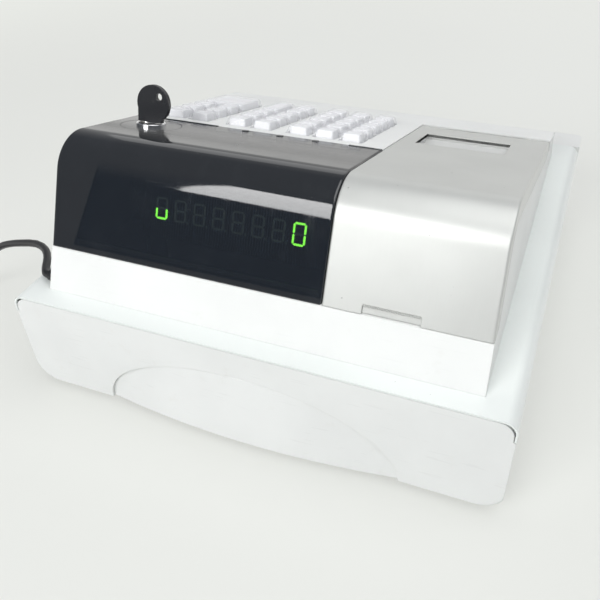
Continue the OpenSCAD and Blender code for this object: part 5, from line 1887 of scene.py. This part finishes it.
@dataclass
class Studio:
    """Floor, lamps, world and camera, at the photograph's viewing angle."""

    lens: float = 41.87
    place: Triple = (-160.87, 429.72, 362.67)
    right: Triple = (-0.92509, -0.37724, -0.04348)
    down: Triple = (-0.207, 0.59696, -0.7751)
    ahead: Triple = (0.31836, -0.70804, -0.63033)
    floor_size: float = 12.0
    floor_tone: Triple = (0.765, 0.775, 0.745)
    far_floor_painted_lift: Triple = (0.93, 0.94, 0.915)
    far_floor_lift_span: Pair = (-1.0, 0.25)
    floor_plain: Triple = (0.82, 0.83, 0.79)
    floor_share: float = 0.5
    floor_rim: Pair = (0.15, 1.2)
    floor_seen: Triple = (1.0, 1.0, 0.98)
    backdrop: Triple = (0.81, 0.825, 0.79)
    sky_way: Triple = (0.0, -0.9, -0.45)
    sky_span: Pair = (0.15, 0.85)
    sky_dim: Triple = (0.17, 0.18, 0.20)
    sky_bright: Triple = (0.55, 0.55, 0.545)
    lamps: tuple[Lamp, ...] = (
        Lamp("softbox_customer", (0.42, 1.50, 1.05), (0.0, 0.12, 0.14), 0.95, 0.94, 18.3),
        Lamp("panel_behind", (0.3, -2.2, 1.2), (0.0, 0.0, 0.14), 3.0, 1.0, 5.0),
        Lamp("overhead", (-0.7, 0.1, 2.2), (0.0, 0.0, 0.0), 2.6, 2.6, 38.5),
    )

    def camera(self) -> None:
        """Set the camera."""
        data = bpy.data.cameras.new("camera")
        data.lens, data.sensor_width, data.clip_start = self.lens, 36.0, 0.01
        camera = bpy.data.objects.new("camera", data)
        bpy.context.scene.collection.objects.link(camera)
        turn = Matrix((self.right, [-v for v in self.down], [-v for v in self.ahead])).transposed()
        camera.matrix_world = at(*(v * MM for v in self.place)) @ turn.to_4x4()
        bpy.context.scene.camera = camera

    def world(self) -> None:
        """A soft sky, brighter behind the operator's side, that is seen directly as the pale backdrop."""
        world = bpy.context.scene.world = bpy.data.worlds.new("studio")
        g = Graph(world)
        way = {0: g.node("TexCoord", output="Generated"), 1: self.sky_way}
        level = g.node("VectorMath", {"operation": "DOT_PRODUCT"}, way, "Value")
        low, high = self.sky_span
        spread = g.node("MapRange", None, {"Value": level, "From Min": low, "From Max": high})
        tone = g.node("ValToRGB", {"stops": ((0.0, self.sky_dim), (1.0, self.sky_bright))}, {0: spread})
        direct = g.ray("Camera").either(g.ray("Transmission"))
        sky, pale = (g.node("Background", None, {0: colour}) for colour in (tone, self.backdrop))
        g.end("OutputWorld", g.node("MixShader", None, {0: direct, 1: sky, 2: pale}))

    def floor(self) -> None:
        """Lay the pale floor, which keeps the object's shadow; further away its paper is painted lighter, a
        painted lift for the lamp light that falls off there.
        """
        Shape.clear()
        bpy.ops.mesh.primitive_plane_add(size=self.floor_size, location=(0, 0, 0))
        floor = bpy.context.object
        floor.name = "studio_floor"
        p = Paint("studio_paper")
        x, y = p.axis("X"), p.axis("Y")
        # Painted light: the paper grows lighter towards -Y, beyond the machine, standing in for lamp light
        # that falls off with distance.
        tone = p.blend(1 - y.ramp(*self.far_floor_lift_span), self.floor_tone, self.far_floor_painted_lift)
        tone = p.blend(p.noise(600, 2).ramp(0.35, 0.7) * 0.2, tone, tint(self.floor_tone, 0.95))
        paper = p.settle(Base_Color=tone, Roughness=0.9, Specular_IOR_Level=0.1)
        away = (x * x + y * y).ramp(*self.floor_rim)
        direct = p.ray("Camera")
        bright = p.ray("Glossy").either(p.ray("Transmission"))
        share = bright.either(direct * (away * (1 - self.floor_share) + self.floor_share))
        plain = p.blend(away, self.floor_plain, self.backdrop)
        glow = p.node("Emission", None, {"Color": p.blend(direct, self.floor_seen, plain)})
        p.end("OutputMaterial", p.node("MixShader", None, {0: share, 1: paper, 2: glow}))
        floor.data.materials.append(p.material)

    def light(self) -> None:
        """Light the machine and lay the floor."""
        self.world()
        for lamp in self.lamps:
            lamp.hang()
        self.floor()
        bpy.context.scene.view_settings.view_transform = "Standard"


def main() -> None:
    """Load the frame and build every sub-assembly on it."""
    logging.basicConfig(level=logging.INFO, format="%(message)s")
    Shape.clear()
    bpy.ops.object.select_all(action="SELECT")
    bpy.ops.object.delete()
    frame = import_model()
    Shape.clear()
    studio = Studio()
    studio.camera()
    finishes, form = Finishes(), CaseForm()
    CarriedNodes(finishes).dress(frame["nodes"])
    for kind in (PowerLead, Cabinet, DisplayHood, CustomerDisplay, ModeLock, KeyField, PrinterCover):
        kind(form, finishes).build()
    studio.light()


if __name__ == "__main__":
    main()
